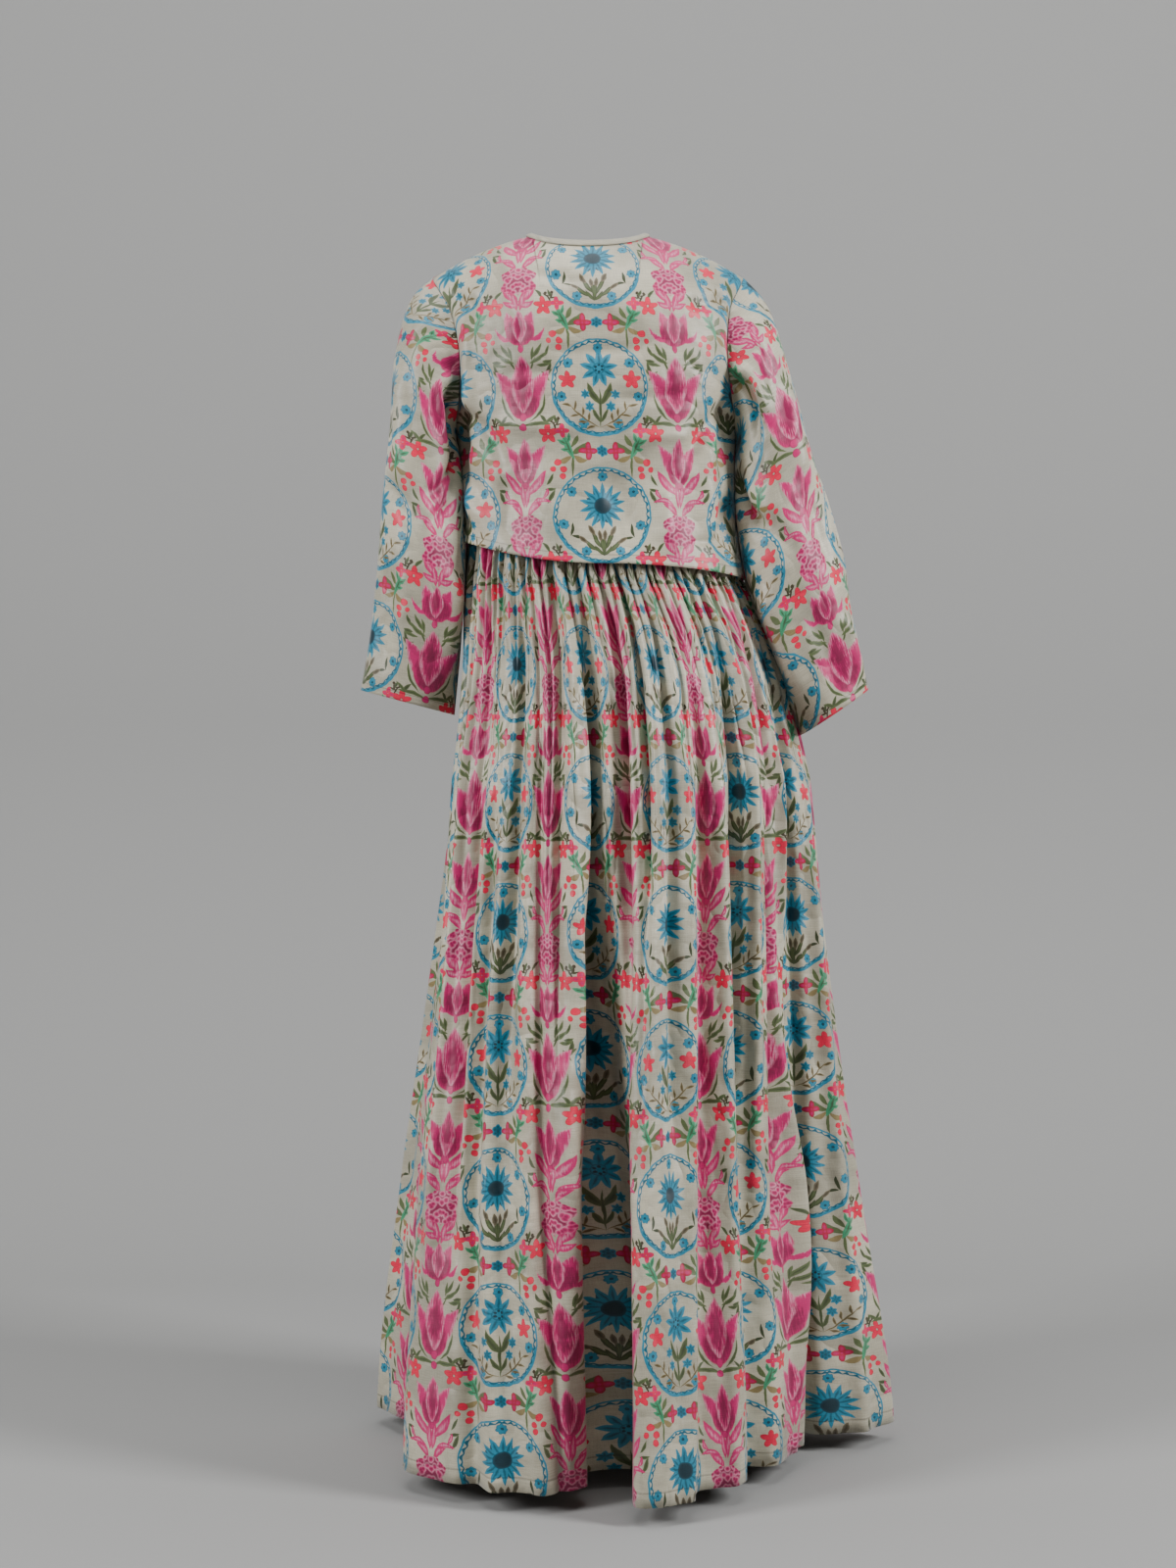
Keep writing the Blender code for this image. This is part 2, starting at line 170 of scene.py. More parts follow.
FRONT_FOLDS = (
    FoldLine("right_seam", -91, -111, 0.278),
    FoldLine("right_front_valley", -101, -123, 0.222),
    FoldLine("right_front_lobe", -114, -138, 0.300),
    FoldLine("right_front_tail", -126, -151, 0.284),
    FoldLine("front_right_valley", -138, -162, 0.208),
    FoldLine("front_lobe", -152, -174, 0.284),
    FoldLine("front_lobe_tail", -164, -186, 0.290),
    FoldLine("front_left_valley", -176, -196, 0.214),
    FoldLine("front_left_foot", -187, -205, 0.204),
    FoldLine("left_front_lobe", -199, -215, 0.292),
    FoldLine("left_front_tail", -211, -226, 0.306),
    FoldLine("left_front_valley", -223, -233, 0.238),
    FoldLine("left_far_lobe_edge", -234, -238, 0.342),
    FoldLine("left_far_lobe", -245, -246, 0.350),
    FoldLine("left_far_tail", -258, -257, 0.285),
)
FOLDS = BACK_FOLDS + FRONT_FOLDS
FOLD_START = 0.05
FOLD_GROWTH = 0.75

# ---- The cut and the sewing

PANEL_WIDTH = 1.12  # of each skirt panel, a full width of the silk
SKIRT_LENGTH = WAIST_SEAM - SKIRT_HEM
SKIRT_HEM_TURNING = 0.016
SMALL_TURNING = 0.010
FAR_FROM_SEAMS = 100.0  # in turnings, for a piece with no hem of its own
SLEEVE_CREASE_FADE = 0.03  # below the armhole seam
HEM_SINK = 0.0008  # how far a crease may draw the bodice's hem in, over the skirt
HEM_SINK_GROWTH = 0.15  # how much further, for each unit of length above the turning
SIDE_FADE = 0.08  # share of half a bodice panel over which its creases end at the side
SHOULDER_FADE = 0.6  # rows over which they end at the shoulder seam
SKIRT_GRID = {BACK: (480, 92), FRONT: (440, 80)}  # columns and rows
SKIRT_ROW_EASE = 1.15
BODICE_GRID = (208, 110)
SLEEVE_GRID = (120, 120)
BINDING_GRID = (240, 6)


def mix(a, b, share):
    return a + (b - a) * share


def smoothstep(value):
    value = np.clip(value, 0.0, 1.0)
    return value * value * (3 - 2 * value)


def smooth_between(before, start, end, after, share):
    """Values on the smooth curve through four, share of the way from start to end."""
    turn = 2 * before - 5 * start + 4 * end - after
    bend = 3 * (start - end) + after - before
    return start + 0.5 * share * (end - before + share * (turn + share * bend))


def read(table, column, height):
    """A table's column at any heights, on a smooth curve through its rows."""
    heights = np.array([row.height for row in table])
    values = np.array([getattr(row, column) for row in table])
    last = len(table) - 1
    row = np.searchsorted(-heights, -np.asarray(height, float), side="left") - 1
    row = np.clip(row, 0, last - 1)
    share = np.clip((heights[row] - height) / (heights[row] - heights[row + 1]), 0, 1)
    before, after = values[np.maximum(row - 1, 0)], values[np.minimum(row + 2, last)]
    return smooth_between(before, values[row], values[row + 1], after, share)


# ---- Sheets of cloth

# How far each piece's cut lies along and up the printed length, so the motifs fall
# where they do on the sewn gown.
PRINT_STARTS = {
    "bodice_back_cloth": (0.086, 0.196),
    "bodice_front_cloth": (0.004, 0.196),
    "sleeve_left_cloth": (-0.024, -0.055),
    "sleeve_right_cloth": (-0.024, -0.050),
    "skirt_back_cloth": (0.016, 0.031),
    "skirt_front_cloth": (0.070, 0.031),
    "neck_binding_cloth": (0.0, 0.0),
}
Crease = namedtuple("Crease", "start_x start_z end_x end_z width depth bow")
CREASE_RISE, CREASE_FALL = 4, 2.5  # how steeply a crease sets in and fades


def crease_field(x, z, creases):
    """Soft troughs and ridges: how far out each point of a sheet is moved by its creases.

    A crease runs from its start to its end, fades at both, and bows to one side by a
    share of its length. Its depth is positive for a ridge.
    """
    moved = np.zeros_like(x)
    for crease in creases:
        run_x, run_z = crease.end_x - crease.start_x, crease.end_z - crease.start_z
        length = math.hypot(run_x, run_z)
        dx, dz = x - crease.start_x, z - crease.start_z
        along = (dx * run_x + dz * run_z) / length**2
        aside = (dz * run_x - dx * run_z) / length
        aside = aside - crease.bow * length * (1 - (2 * along - 1) ** 2)
        inside = smoothstep(along * CREASE_RISE) * smoothstep((1 - along) * CREASE_FALL)
        moved += crease.depth * inside * np.exp(-((aside / crease.width) ** 2))
    return moved


def sheet_normals(points, closed):
    """Unit normals of a grid of points, from the neighbours of each."""
    if closed:
        wrapped = np.concatenate([points[:, -2:-1], points, points[:, 1:2]], axis=1)
        across = (wrapped[:, 2:] - wrapped[:, :-2]) / 2
    else:
        across = np.gradient(points, axis=1)
    normals = np.cross(across, np.gradient(points, axis=0))
    return normals / np.maximum(np.linalg.norm(normals, axis=2, keepdims=True), 1e-9)


LEVEL = (1.0, 1.0, 0.0)  # keeps what is level of a distance


def lengths_along(points, axis):
    """Distance run along a grid's rows (axis 1) or columns (axis 0)."""
    steps = np.linalg.norm(np.diff(points, axis=axis), axis=2)
    first = np.zeros_like(np.take(steps, [0], axis=axis))
    return np.concatenate([first, np.cumsum(steps, axis=axis)], axis=axis)


def sheet_object(name, points, cut, sewing, thickness, materials, closed=False):
    """A mesh from a grid of points, rows upwards and columns to its outside's right."""
    cut = cut + PRINT_STARTS[name]
    rows, columns = points.shape[0] - 1, points.shape[1] - 1
    wide = columns if closed else columns + 1
    row, column = np.mgrid[0:rows, 0:columns]
    beside = (column + 1) % wide
    corners = np.stack(
        [
            row * wide + column,
            row * wide + beside,
            (row + 1) * wide + beside,
            (row + 1) * wide + column,
        ],
        axis=-1,
    ).reshape(-1, 4)
    cut_rows = (row, row, row + 1, row + 1)
    cut_columns = (column, column + 1, column + 1, column)
    mesh = bpy.data.meshes.new(name)
    flat_points = points[:, :wide].reshape(-1, 3)
    mesh.vertices.add(len(flat_points))
    mesh.vertices.foreach_set("co", flat_points.astype(np.float32).ravel())
    mesh.loops.add(corners.size)
    mesh.loops.foreach_set("vertex_index", corners.astype(np.int32).ravel())
    mesh.polygons.add(len(corners))
    mesh.polygons.foreach_set("loop_start", np.arange(0, corners.size, 4, dtype=np.int32))
    for map_name, places in ((CUT_MAP, cut), (SEWING_MAP, sewing)):
        loops = np.stack([places[r, c] for r, c in zip(cut_rows, cut_columns)], axis=2)
        mesh.uv_layers.new(name=map_name)
        mesh.uv_layers[map_name].data.foreach_set("uv", loops.astype(np.float32).ravel())
    mesh.update(calc_edges=True)
    mesh.validate()
    mesh.shade_smooth()
    for material in materials:
        mesh.materials.append(material)
    sheet = bpy.data.objects.new(name, mesh)
    bpy.context.scene.collection.objects.link(sheet)
    wall = sheet.modifiers.new("cloth", "SOLIDIFY")
    wall.thickness = thickness
    wall.offset = -1
    wall.material_offset = len(materials) - 1
    return sheet


def printed_pair():
    """The print on the outside, and its paler show-through on the inside."""
    made = [bpy.data.materials.get(name) for name in (PRINTED, REVERSE)]
    return made if all(made) else [raw_silk(PRINTED), raw_silk(REVERSE, faded=0.45)]


def stand_for(piece, node):
    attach(piece, "root")
    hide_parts(node)


# ---- Bodice

# Places on the bodice's creases are across and up the gown. Those of the back are
# drawn first from each armpit, then from the shoulders, then as slack across it.
BACK_CREASES = (
    Crease(0.168, -0.150, 0.120, -0.345, 0.011, -0.0151, 0.06),
    Crease(0.166, -0.205, 0.090, -0.300, 0.009, -0.0101, -0.08),
    Crease(0.150, -0.120, 0.128, -0.250, 0.010, 0.0101, 0.05),
    Crease(0.140, -0.250, 0.128, -0.370, 0.012, 0.0101, 0.04),
    Crease(0.160, -0.300, 0.140, -0.372, 0.010, -0.0090, 0.04),
    Crease(-0.176, -0.130, -0.140, -0.320, 0.010, -0.0112, -0.05),
    Crease(-0.176, -0.200, -0.110, -0.300, 0.010, -0.0090, 0.07),
    Crease(-0.150, -0.230, -0.145, -0.390, 0.012, 0.0090, 0.03),
    Crease(-0.168, -0.310, -0.158, -0.395, 0.009, -0.0090, 0.03),
    Crease(-0.176, -0.372, -0.118, -0.378, 0.004, -0.0045, 0.04),
    Crease(0.172, -0.075, 0.120, -0.100, 0.010, -0.0072, 0.08),
    Crease(-0.172, -0.080, -0.110, -0.095, 0.009, -0.0061, -0.08),
    Crease(0.075, -0.052, -0.020, -0.066, 0.007, -0.0045, 0.10),
    Crease(0.050, -0.150, -0.095, -0.142, 0.008, -0.0049, 0.06),
    Crease(0.102, -0.176, 0.015, -0.190, 0.007, -0.0041, -0.06),
    Crease(-0.020, -0.208, -0.135, -0.196, 0.008, -0.0053, 0.05),
    Crease(0.110, -0.232, -0.010, -0.240, 0.009, 0.0045, 0.05),
    Crease(-0.040, -0.262, -0.140, -0.252, 0.009, 0.0049, -0.05),
    Crease(0.052, -0.270, 0.030, -0.388, 0.016, 0.0073, 0.04),
    Crease(-0.020, -0.290, -0.050, -0.395, 0.016, -0.0073, -0.04),
    Crease(-0.090, -0.300, -0.100, -0.405, 0.014, 0.0073, 0.03),
    Crease(0.098, -0.290, 0.080, -0.385, 0.012, -0.0073, 0.03),
)
FRONT_CREASES = (
    Crease(0.160, -0.180, 0.085, -0.290, 0.011, -0.0108, 0.06),
    Crease(-0.166, -0.180, -0.090, -0.300, 0.011, -0.0108, -0.06),
    Crease(0.140, -0.240, 0.120, -0.365, 0.012, 0.0080, 0.04),
    Crease(-0.140, -0.230, -0.130, -0.390, 0.013, 0.0080, -0.04),
    Crease(0.060, -0.230, 0.045, -0.385, 0.018, -0.0072, 0.04),
    Crease(-0.050, -0.250, -0.060, -0.395, 0.018, -0.0072, -0.04),
    Crease(0.010, -0.280, -0.005, -0.392, 0.015, 0.0064, 0.02),
    Crease(0.060, -0.170, -0.060, -0.178, 0.012, -0.0044, -0.08),
)


def bodice_hem(across):
    side = np.where(across > 0, BODICE_HEM_LEFT, BODICE_HEM_RIGHT)
    return mix(BODICE_HEM_MIDDLE, side, across * across)


def shoulder_height(x):
    arch = (x**2 - NECK_HALF**2) / (SHOULDER_HALF**2 - NECK_HALF**2)
    return -SHOULDER_DROP * arch


def neck_drop(face):
    return BACK_NECK_DROP if face == BACK else FRONT_NECK_DROP


def torso_point(face, x, height):
    half = read(TORSO, "half_width", height)
    out = np.minimum(np.abs(x - read(TORSO, "centre", height)) / half, 1.0)
    depth = read(TORSO, "back_depth" if face == BACK else "front_depth", height)
    below = np.clip((shoulder_height(x) - height) / SHOULDER_ROUND, 0.0, 1.0)
    rounding = np.sqrt(1 - (1 - below) ** 2)
    round_section = (1 - out**SQUARENESS) ** (1 / SQUARENESS)
    return np.stack([x, face * depth * rounding * round_section, height], axis=-1)


def column_place(column):
    neck = NECK_HALF / SHOULDER_HALF
    middle = NECK_COLUMNS / 2 + SHOULDER_COLUMNS
    from_middle = np.abs(column - middle)
    inside = neck * np.sin(np.pi * np.minimum(from_middle / NECK_COLUMNS, 0.5))
    share = np.maximum(from_middle - NECK_COLUMNS / 2, 0.0) / SHOULDER_COLUMNS
    outside = mix(neck, 1.0, np.sin(np.pi / 2 * share))
    place = np.where(from_middle <= NECK_COLUMNS / 2, inside, outside)
    return np.copysign(place, column - middle)


def bodice_points(face, across, row):
    """Points of a panel: across from -1 to 1, at rows counted up from the hem."""
    x_at_top = across * SHOULDER_HALF
    inside_neck = np.sqrt(np.maximum(1 - (x_at_top / NECK_HALF) ** 2, 0.0))
    at_neck = np.abs(x_at_top) < NECK_HALF
    top = np.where(at_neck, -neck_drop(face) * inside_neck, shoulder_height(x_at_top))
    share = np.clip((row - HEM_ROWS) / ARMHOLE_ROWS, 0.0, 1.0)
    lower = mix(bodice_hem(across), UNDERARM, np.minimum(row / HEM_ROWS, 1.0))
    height = np.where(row > HEM_ROWS, mix(UNDERARM, top, share), lower)
    armhole = read(ARMHOLE, "half_width", mix(UNDERARM, -SHOULDER_DROP, share))
    half = np.where(row > HEM_ROWS, armhole, read(TORSO, "half_width", height))
    x = across * half + read(TORSO, "centre", height) * (1 - share**4)
    points = torso_point(face, x, height)
    points[..., 1] += face * SEAM_GAP / 2
    return points


def bodice_sheet(name, face, creases, thickness, materials):
    columns, rows = BODICE_GRID
    row, column = np.meshgrid(
        np.linspace(0, BODICE_ROWS, rows + 1),
        np.linspace(0, BODICE_COLUMNS, columns + 1),
        indexing="ij",
    )
    across = -face * column_place(column)
    points = bodice_points(face, across, row)
    normals = sheet_normals(points, closed=False)
    side_fade = smoothstep((1 - np.abs(across)) / SIDE_FADE)
    top_fade = smoothstep((BODICE_ROWS - row) / SHOULDER_FADE)
    moved = crease_field(points[..., 0], points[..., 2], creases) * side_fade * top_fade
    cut_u = lengths_along(points * LEVEL, axis=1)
    cut_u = cut_u - cut_u[:, [columns // 2]]
    cut_v = lengths_along(points, axis=0) + bodice_hem(across)
    from_hem = cut_v - bodice_hem(across)
    above_turning = np.maximum(from_hem - SMALL_TURNING, 0)
    moved = np.maximum(moved, -HEM_SINK - HEM_SINK_GROWTH * above_turning)
    points = points + normals * moved[..., None]
    cut = np.stack([cut_u, cut_v], axis=-1)
    from_side = np.minimum(cut_u - cut_u[:, [0]], cut_u[:, [-1]] - cut_u)
    sewing = np.stack([from_hem, from_side], axis=-1) / SMALL_TURNING
    return sheet_object(name, points, cut, sewing, thickness, materials)


# ---- Sleeves


def armhole_points(side, round_share):
    points = []
    for share in round_share:
        face = BACK if share <= 0.5 else FRONT
        climb = 1 - abs(1 - 2 * share)
        row = np.float64(HEM_ROWS + ARMHOLE_ROWS * climb)
        points.append(bodice_points(face, np.float64(side), row))
    points = np.array(points)
    points[:, 0] += side * SEAM_GAP
    return points


def ring_points(ring, side, round_share):
    turn = 2 * np.pi * round_share
    out = (1 - np.cos(turn)) / 2
    return np.stack(
        [
            side * mix(ring.inner_x, ring.outer_x, out),
            ring.middle_y + ring.half_depth * np.sin(turn),
            mix(ring.inner_z, ring.outer_z, out),
        ],
        axis=-1,
    )


def body_edge(side, y, height):
    """How far out the bodice, or the skirt below it, reaches at each y and height."""
    above = height > (BODICE_HEM_LEFT if side == LEFT else BODICE_HEM_RIGHT)
    behind = y > 0
    centre = np.where(
        above, read(TORSO, "centre", height), read(SKIRT_OUTLINE, "centre_x", height)
    )
    torso_half = np.where(
        height > UNDERARM, read(ARMHOLE, "half_width", height), read(TORSO, "half_width", height)
    )
    skirt_half = read(SKIRT_OUTLINE, "half_width", height) + GATHER_DEPTH
    half = np.where(above, torso_half, skirt_half)
    torso_depth = np.where(
        behind, read(TORSO, "back_depth", height), read(TORSO, "front_depth", height)
    )
    skirt_depth = np.where(
        behind, read(SKIRT_OUTLINE, "back", height), read(SKIRT_OUTLINE, "front", height)
    )
    depth = np.where(above, torso_depth, skirt_depth + GATHER_DEPTH)
    inside = np.maximum(1 - (np.abs(y) / depth) ** SQUARENESS, 0.0)
    return side * centre + half * inside ** (1 / SQUARENESS)


def beside_body(side, points):
    """Moves a sleeve's points out of the bodice and skirt, all but its armhole seam."""
    edge = body_edge(side, points[:-1, :, 1], points[:-1, :, 2]) + SLEEVE_CLEARANCE
    points[:-1, :, 0] = side * np.maximum(side * points[:-1, :, 0], edge)
    return points


# Places on a sleeve's creases run round it from the middle of its back, and up from
# its cuff.
LEFT_SLEEVE_CREASES = (
    Crease(0.040, 0.470, 0.052, 0.250, 0.010, -0.0130, 0.05),
    Crease(0.020, 0.455, 0.030, 0.300, 0.009, 0.0108, 0.04),
    Crease(0.064, 0.330, -0.010, 0.235, 0.008, -0.0097, 0.08),
    Crease(0.066, 0.290, 0.004, 0.190, 0.007, -0.0076, -0.06),
    Crease(-0.050, 0.400, -0.030, 0.240, 0.014, 0.0086, 0.05),
    Crease(-0.062, 0.250, 0.012, 0.200, 0.010, -0.0065, 0.10),
    Crease(0.050, 0.180, 0.040, 0.010, 0.014, 0.0097, 0.03),
    Crease(-0.035, 0.170, -0.030, 0.005, 0.016, -0.0076, -0.04),
    Crease(0.010, 0.064, 0.068, 0.058, 0.003, -0.0030, 0.02),
    Crease(0.130, 0.350, 0.110, 0.100, 0.018, -0.0108, 0.06),
    Crease(-0.120, 0.300, -0.100, 0.060, 0.018, 0.0086, -0.05),
)
RIGHT_SLEEVE_CREASES = (
    Crease(-0.046, 0.470, -0.020, 0.330, 0.008, -0.0130, 0.05),
    Crease(-0.030, 0.465, 0.000, 0.350, 0.007, 0.0097, 0.04),
    Crease(-0.066, 0.330, -0.020, 0.230, 0.009, -0.0119, -0.08),
    Crease(-0.060, 0.280, 0.010, 0.180, 0.008, -0.0076, 0.08),
    Crease(0.045, 0.400, 0.040, 0.210, 0.013, 0.0086, -0.05),
    Crease(0.020, 0.300, 0.050, 0.130, 0.012, -0.0086, 0.05),
    Crease(-0.052, 0.190, -0.040, 0.020, 0.014, 0.0108, 0.05),
    Crease(0.000, 0.140, 0.010, 0.005, 0.013, -0.0076, 0.04),
    Crease(0.050, 0.110, 0.052, 0.000, 0.010, 0.0076, -0.04),
    Crease(-0.130, 0.330, -0.110, 0.100, 0.018, -0.0108, 0.06),
    Crease(0.120, 0.310, 0.110, 0.070, 0.018, 0.0086, -0.05),
)


def sleeve_sheet(name, side, creases, thickness, materials):
    columns, rows = SLEEVE_GRID
    round_share = (-side * np.linspace(0, 1, columns + 1)) % 1.0
    stations = [armhole_points(side, round_share)]
    stations += [ring_points(ring, side, round_share) for ring in SLEEVE_RINGS[side]]
    last = len(stations) - 1
    lines = []
    for down in np.linspace(1, 0, rows + 1) * last:
        index = min(int(down), last - 1)
        around = (max(index - 1, 0), index, index + 1, min(index + 2, last))
        lines.append(
            smooth_between(*(stations[station] for station in around), down - index)
        )
    points = beside_body(side, np.array(lines))
    normals = sheet_normals(points, closed=True)
    back_middle = 0.25 if side == RIGHT else 0.75
    round_length = lengths_along(points, axis=1)
    middle_column = int(back_middle * columns)
    cut_u = round_length - round_length[:, [middle_column]]
    cut_v = lengths_along(points, axis=0)
    below_seam = (cut_v[-1] - cut_v) / SLEEVE_CREASE_FADE
    moved = crease_field(cut_u, cut_v, creases) * smoothstep(below_seam)
    points = beside_body(side, points + normals * moved[..., None])
    cut = np.stack([cut_u, cut_v], axis=-1)
    sewing = np.stack([cut_v, cut_v[-1] - cut_v], axis=-1) / SMALL_TURNING
    return sheet_object(name, points, cut, sewing, thickness, materials, closed=True)


# ---- Skirt

LongFold = namedtuple("LongFold", "waist_u hem_u start end width depth")
# Each lies so far along its panel at the waist and at the hem, and runs from start to
# end down the skirt: 0 is the waist seam and 1 the hem.
BACK_LONG_FOLDS = (
    LongFold(0.386, 0.374, 0.40, 1.70, 0.014, 0.0120),
    LongFold(0.478, 0.456, 0.34, 1.70, 0.036, -0.0340),
    LongFold(0.572, 0.560, 0.38, 1.70, 0.012, 0.0120),
    LongFold(0.900, 0.885, 0.45, 1.70, 0.011, 0.0170),
    LongFold(0.932, 0.925, 0.40, 1.70, 0.015, -0.0230),
    LongFold(0.045, 0.060, 0.15, 1.30, 0.014, -0.0112),
    LongFold(0.150, 0.175, 0.10, 0.95, 0.012, 0.0098),
    LongFold(0.195, 0.210, 0.04, 0.90, 0.010, -0.0126),
    LongFold(0.240, 0.238, 0.20, 1.40, 0.011, -0.0119),
    LongFold(0.262, 0.268, 0.30, 1.50, 0.012, 0.0119),
    LongFold(0.285, 0.300, 0.02, 0.62, 0.009, -0.0126),
    LongFold(0.318, 0.318, 0.25, 1.30, 0.012, 0.0091),
    LongFold(0.345, 0.340, 0.02, 1.40, 0.009, -0.0112),
    LongFold(0.392, 0.360, 0.02, 0.70, 0.009, -0.0133),
    LongFold(0.425, 0.385, 0.05, 0.85, 0.010, 0.0119),
    LongFold(0.468, 0.430, 0.10, 0.75, 0.010, -0.0182),
    LongFold(0.500, 0.470, 0.05, 0.70, 0.012, 0.0098),
    LongFold(0.545, 0.520, 0.02, 0.55, 0.009, -0.0154),
    LongFold(0.596, 0.575, 0.02, 0.48, 0.008, -0.0168),
    LongFold(0.620, 0.560, 0.10, 0.95, 0.010, 0.0112),
    LongFold(0.665, 0.590, 0.04, 0.72, 0.009, -0.0112),
    LongFold(0.700, 0.615, 0.12, 1.50, 0.014, 0.0133),
    LongFold(0.735, 0.650, 0.10, 1.20, 0.012, -0.0119),
    LongFold(0.775, 0.690, 0.15, 1.30, 0.014, 0.0098),
    LongFold(0.835, 0.725, 0.05, 0.85, 0.010, -0.0161),
    LongFold(0.870, 0.770, 0.08, 0.80, 0.010, 0.0112),
    LongFold(0.955, 0.800, 0.06, 0.88, 0.012, -0.0210),
    LongFold(0.985, 0.860, 0.10, 1.20, 0.010, 0.0126),
    LongFold(1.020, 0.930, 0.08, 1.10, 0.011, -0.0126),
    LongFold(1.060, 1.000, 0.20, 1.50, 0.014, 0.0105),
)
FRONT_LONG_FOLDS = (
    LongFold(0.070, 0.080, 0.05, 1.30, 0.013, -0.0126),
    LongFold(0.140, 0.150, 0.10, 1.10, 0.014, 0.0112),
    LongFold(0.215, 0.230, 0.03, 0.90, 0.010, -0.0140),
    LongFold(0.270, 0.290, 0.15, 1.40, 0.014, -0.0112),
    LongFold(0.340, 0.330, 0.05, 0.80, 0.010, 0.0119),
    LongFold(0.400, 0.400, 0.02, 0.95, 0.010, -0.0154),
    LongFold(0.455, 0.470, 0.12, 1.30, 0.013, 0.0112),
    LongFold(0.530, 0.520, 0.04, 0.70, 0.009, -0.0140),
    LongFold(0.600, 0.610, 0.20, 1.50, 0.014, -0.0119),
    LongFold(0.665, 0.660, 0.05, 0.85, 0.011, 0.0112),
    LongFold(0.730, 0.745, 0.02, 1.00, 0.010, -0.0154),
    LongFold(0.800, 0.800, 0.15, 1.30, 0.013, 0.0105),
    LongFold(0.880, 0.870, 0.04, 0.80, 0.010, -0.0133),
    LongFold(0.950, 0.965, 0.10, 1.20, 0.013, 0.0112),
    LongFold(1.040, 1.050, 0.08, 1.30, 0.012, -0.0119),
)
Ease = namedtuple("Ease", "along extra")
# Shifts of the print along each panel, in full at the hem and none at the waist. They
# are set so that the motifs fall where they do on the worn gown behind. Those
# of the front are a guess wherever it is out of sight.
BACK_EASE = (
    Ease(0.000, 0.000),
    Ease(0.280, -0.009),
    Ease(0.352, 0.008),
    Ease(0.547, 0.000),
    Ease(0.603, 0.028),
    Ease(0.680, 0.044),
    Ease(0.745, 0.064),
    Ease(0.856, 0.052),
    Ease(0.962, 0.037),
    Ease(1.120, 0.000),
)
FRONT_EASE = (
    Ease(0.000, 0.000),
    Ease(0.240, 0.022),
    Ease(0.470, -0.014),
    Ease(0.700, 0.026),
    Ease(0.900, 0.006),
    Ease(1.120, 0.000),
)
EASE_FROM, EASE_OVER = 0.25, 0.45  # where the ease begins, and what it grows over
GATHER_PITCH = 0.029  # of cloth, from one gather to the next
GATHER_HEIGHT = 0.0135
GATHER_PITCHES = (0.55, 1.5)  # narrowest and widest, before they are fitted to the panel
GATHER_HEIGHTS = (0.55, 1.15)  # lowest and highest, as shares of GATHER_HEIGHT
SHORTEST_GATHER, LONGER_GATHER = 0.13, 0.46  # shares of the skirt, and what chance adds
RIDGE_POWER = 0.55  # under 1, for round ridges between sharp valleys
HELD_IN, HELD_OVER = 0.55, 0.30  # share of their height, and of the skirt's length
UNDER_BODICE = 0.006  # how far the gathers are held in where the bodice lies on them
COVERED, UNCOVERED_OVER = 0.02, 0.05  # shares of the skirt where that ends
SWAY = 0.010  # how far aside the gathers wander on their way down
SWAY_WAVES = ((7.0, 5.0), (19.0, -9.0))  # radians along the panel and down it
SWAY_START = 0.15  # share of the skirt over which the wandering sets in
FOLD_RISE, FOLD_FALL = 5, 3  # how steeply a long fold sets in and fades
CURVE_POINTS = 1500  # on which a level section's length is measured


def outline_reach(turn, height):
    half = read(SKIRT_OUTLINE, "half_width", height)
    depth = np.where(
        np.cos(turn) > 0,
        read(SKIRT_OUTLINE, "back", height),
        read(SKIRT_OUTLINE, "front", height),
    )
    across = np.abs(np.sin(turn)) / half
    along = np.abs(np.cos(turn)) / depth
    return (across**SQUARENESS + along**SQUARENESS) ** (-1 / SQUARENESS)


WAIST_TURNS = np.radians([line.waist_turn for line in FOLDS])
HEM_TURNS = np.radians([line.hem_turn for line in FOLDS])
STANDS_OUT = np.array([line.reach for line in FOLDS]) / outline_reach(
    HEM_TURNS, np.float64(SKIRT_HEM)
)


def fold_curve(along, down):
    """Points of the skirt's level section: along counts fold lines from the left seam."""
    height = mix(WAIST_SEAM, SKIRT_HEM, down)
    count = len(FOLDS)
    growth = (max(down - FOLD_START, 0.0) / (1 - FOLD_START)) ** FOLD_GROWTH
    turns = mix(WAIST_TURNS, HEM_TURNS, down)
    reach = outline_reach(turns, height) * mix(1.0, STANDS_OUT, growth)
    corners = np.stack([reach * np.sin(turns), reach * np.cos(turns)], axis=-1)
    index = np.floor(along).astype(int)
    share = (along - index)[:, None]
    around = (corners[(index + step) % count] for step in (-1, 0, 1, 2))
    middle = [read(SKIRT_OUTLINE, axis, height) for axis in ("centre_x", "centre_y")]
    return smooth_between(*around, share) + middle


def gathers(u, down, seed):
    """How far out the gathers lie: round ridges of uneven pitch between sharp valleys."""
    draw = np.random.default_rng(seed)
    count = round(PANEL_WIDTH / GATHER_PITCH)
    valleys = np.concatenate([[0.0], np.cumsum(draw.uniform(*GATHER_PITCHES, count))])
    valleys *= PANEL_WIDTH / valleys[-1]
    heights = GATHER_HEIGHT * draw.uniform(*GATHER_HEIGHTS, count)
    reaches = SHORTEST_GATHER + LONGER_GATHER * draw.random(count) ** 1.8
    sway = sum(np.sin(wide * u / PANEL_WIDTH + deep * down) for wide, deep in SWAY_WAVES)
    started = np.minimum(down / SWAY_START, 1.0)
    u = u + SWAY * sway * np.sin(math.pi * u / PANEL_WIDTH) * started
    index = np.clip(np.searchsorted(valleys, u, side="right") - 1, 0, count - 1)
    phase = (u - valleys[index]) / (valleys[index + 1] - valleys[index])
    ridge = np.sin(np.pi * np.clip(phase, 0, 1)) ** RIDGE_POWER
    fade = np.exp(-((down / reaches[index]) ** 1.4))
    return heights[index] * ridge * fade


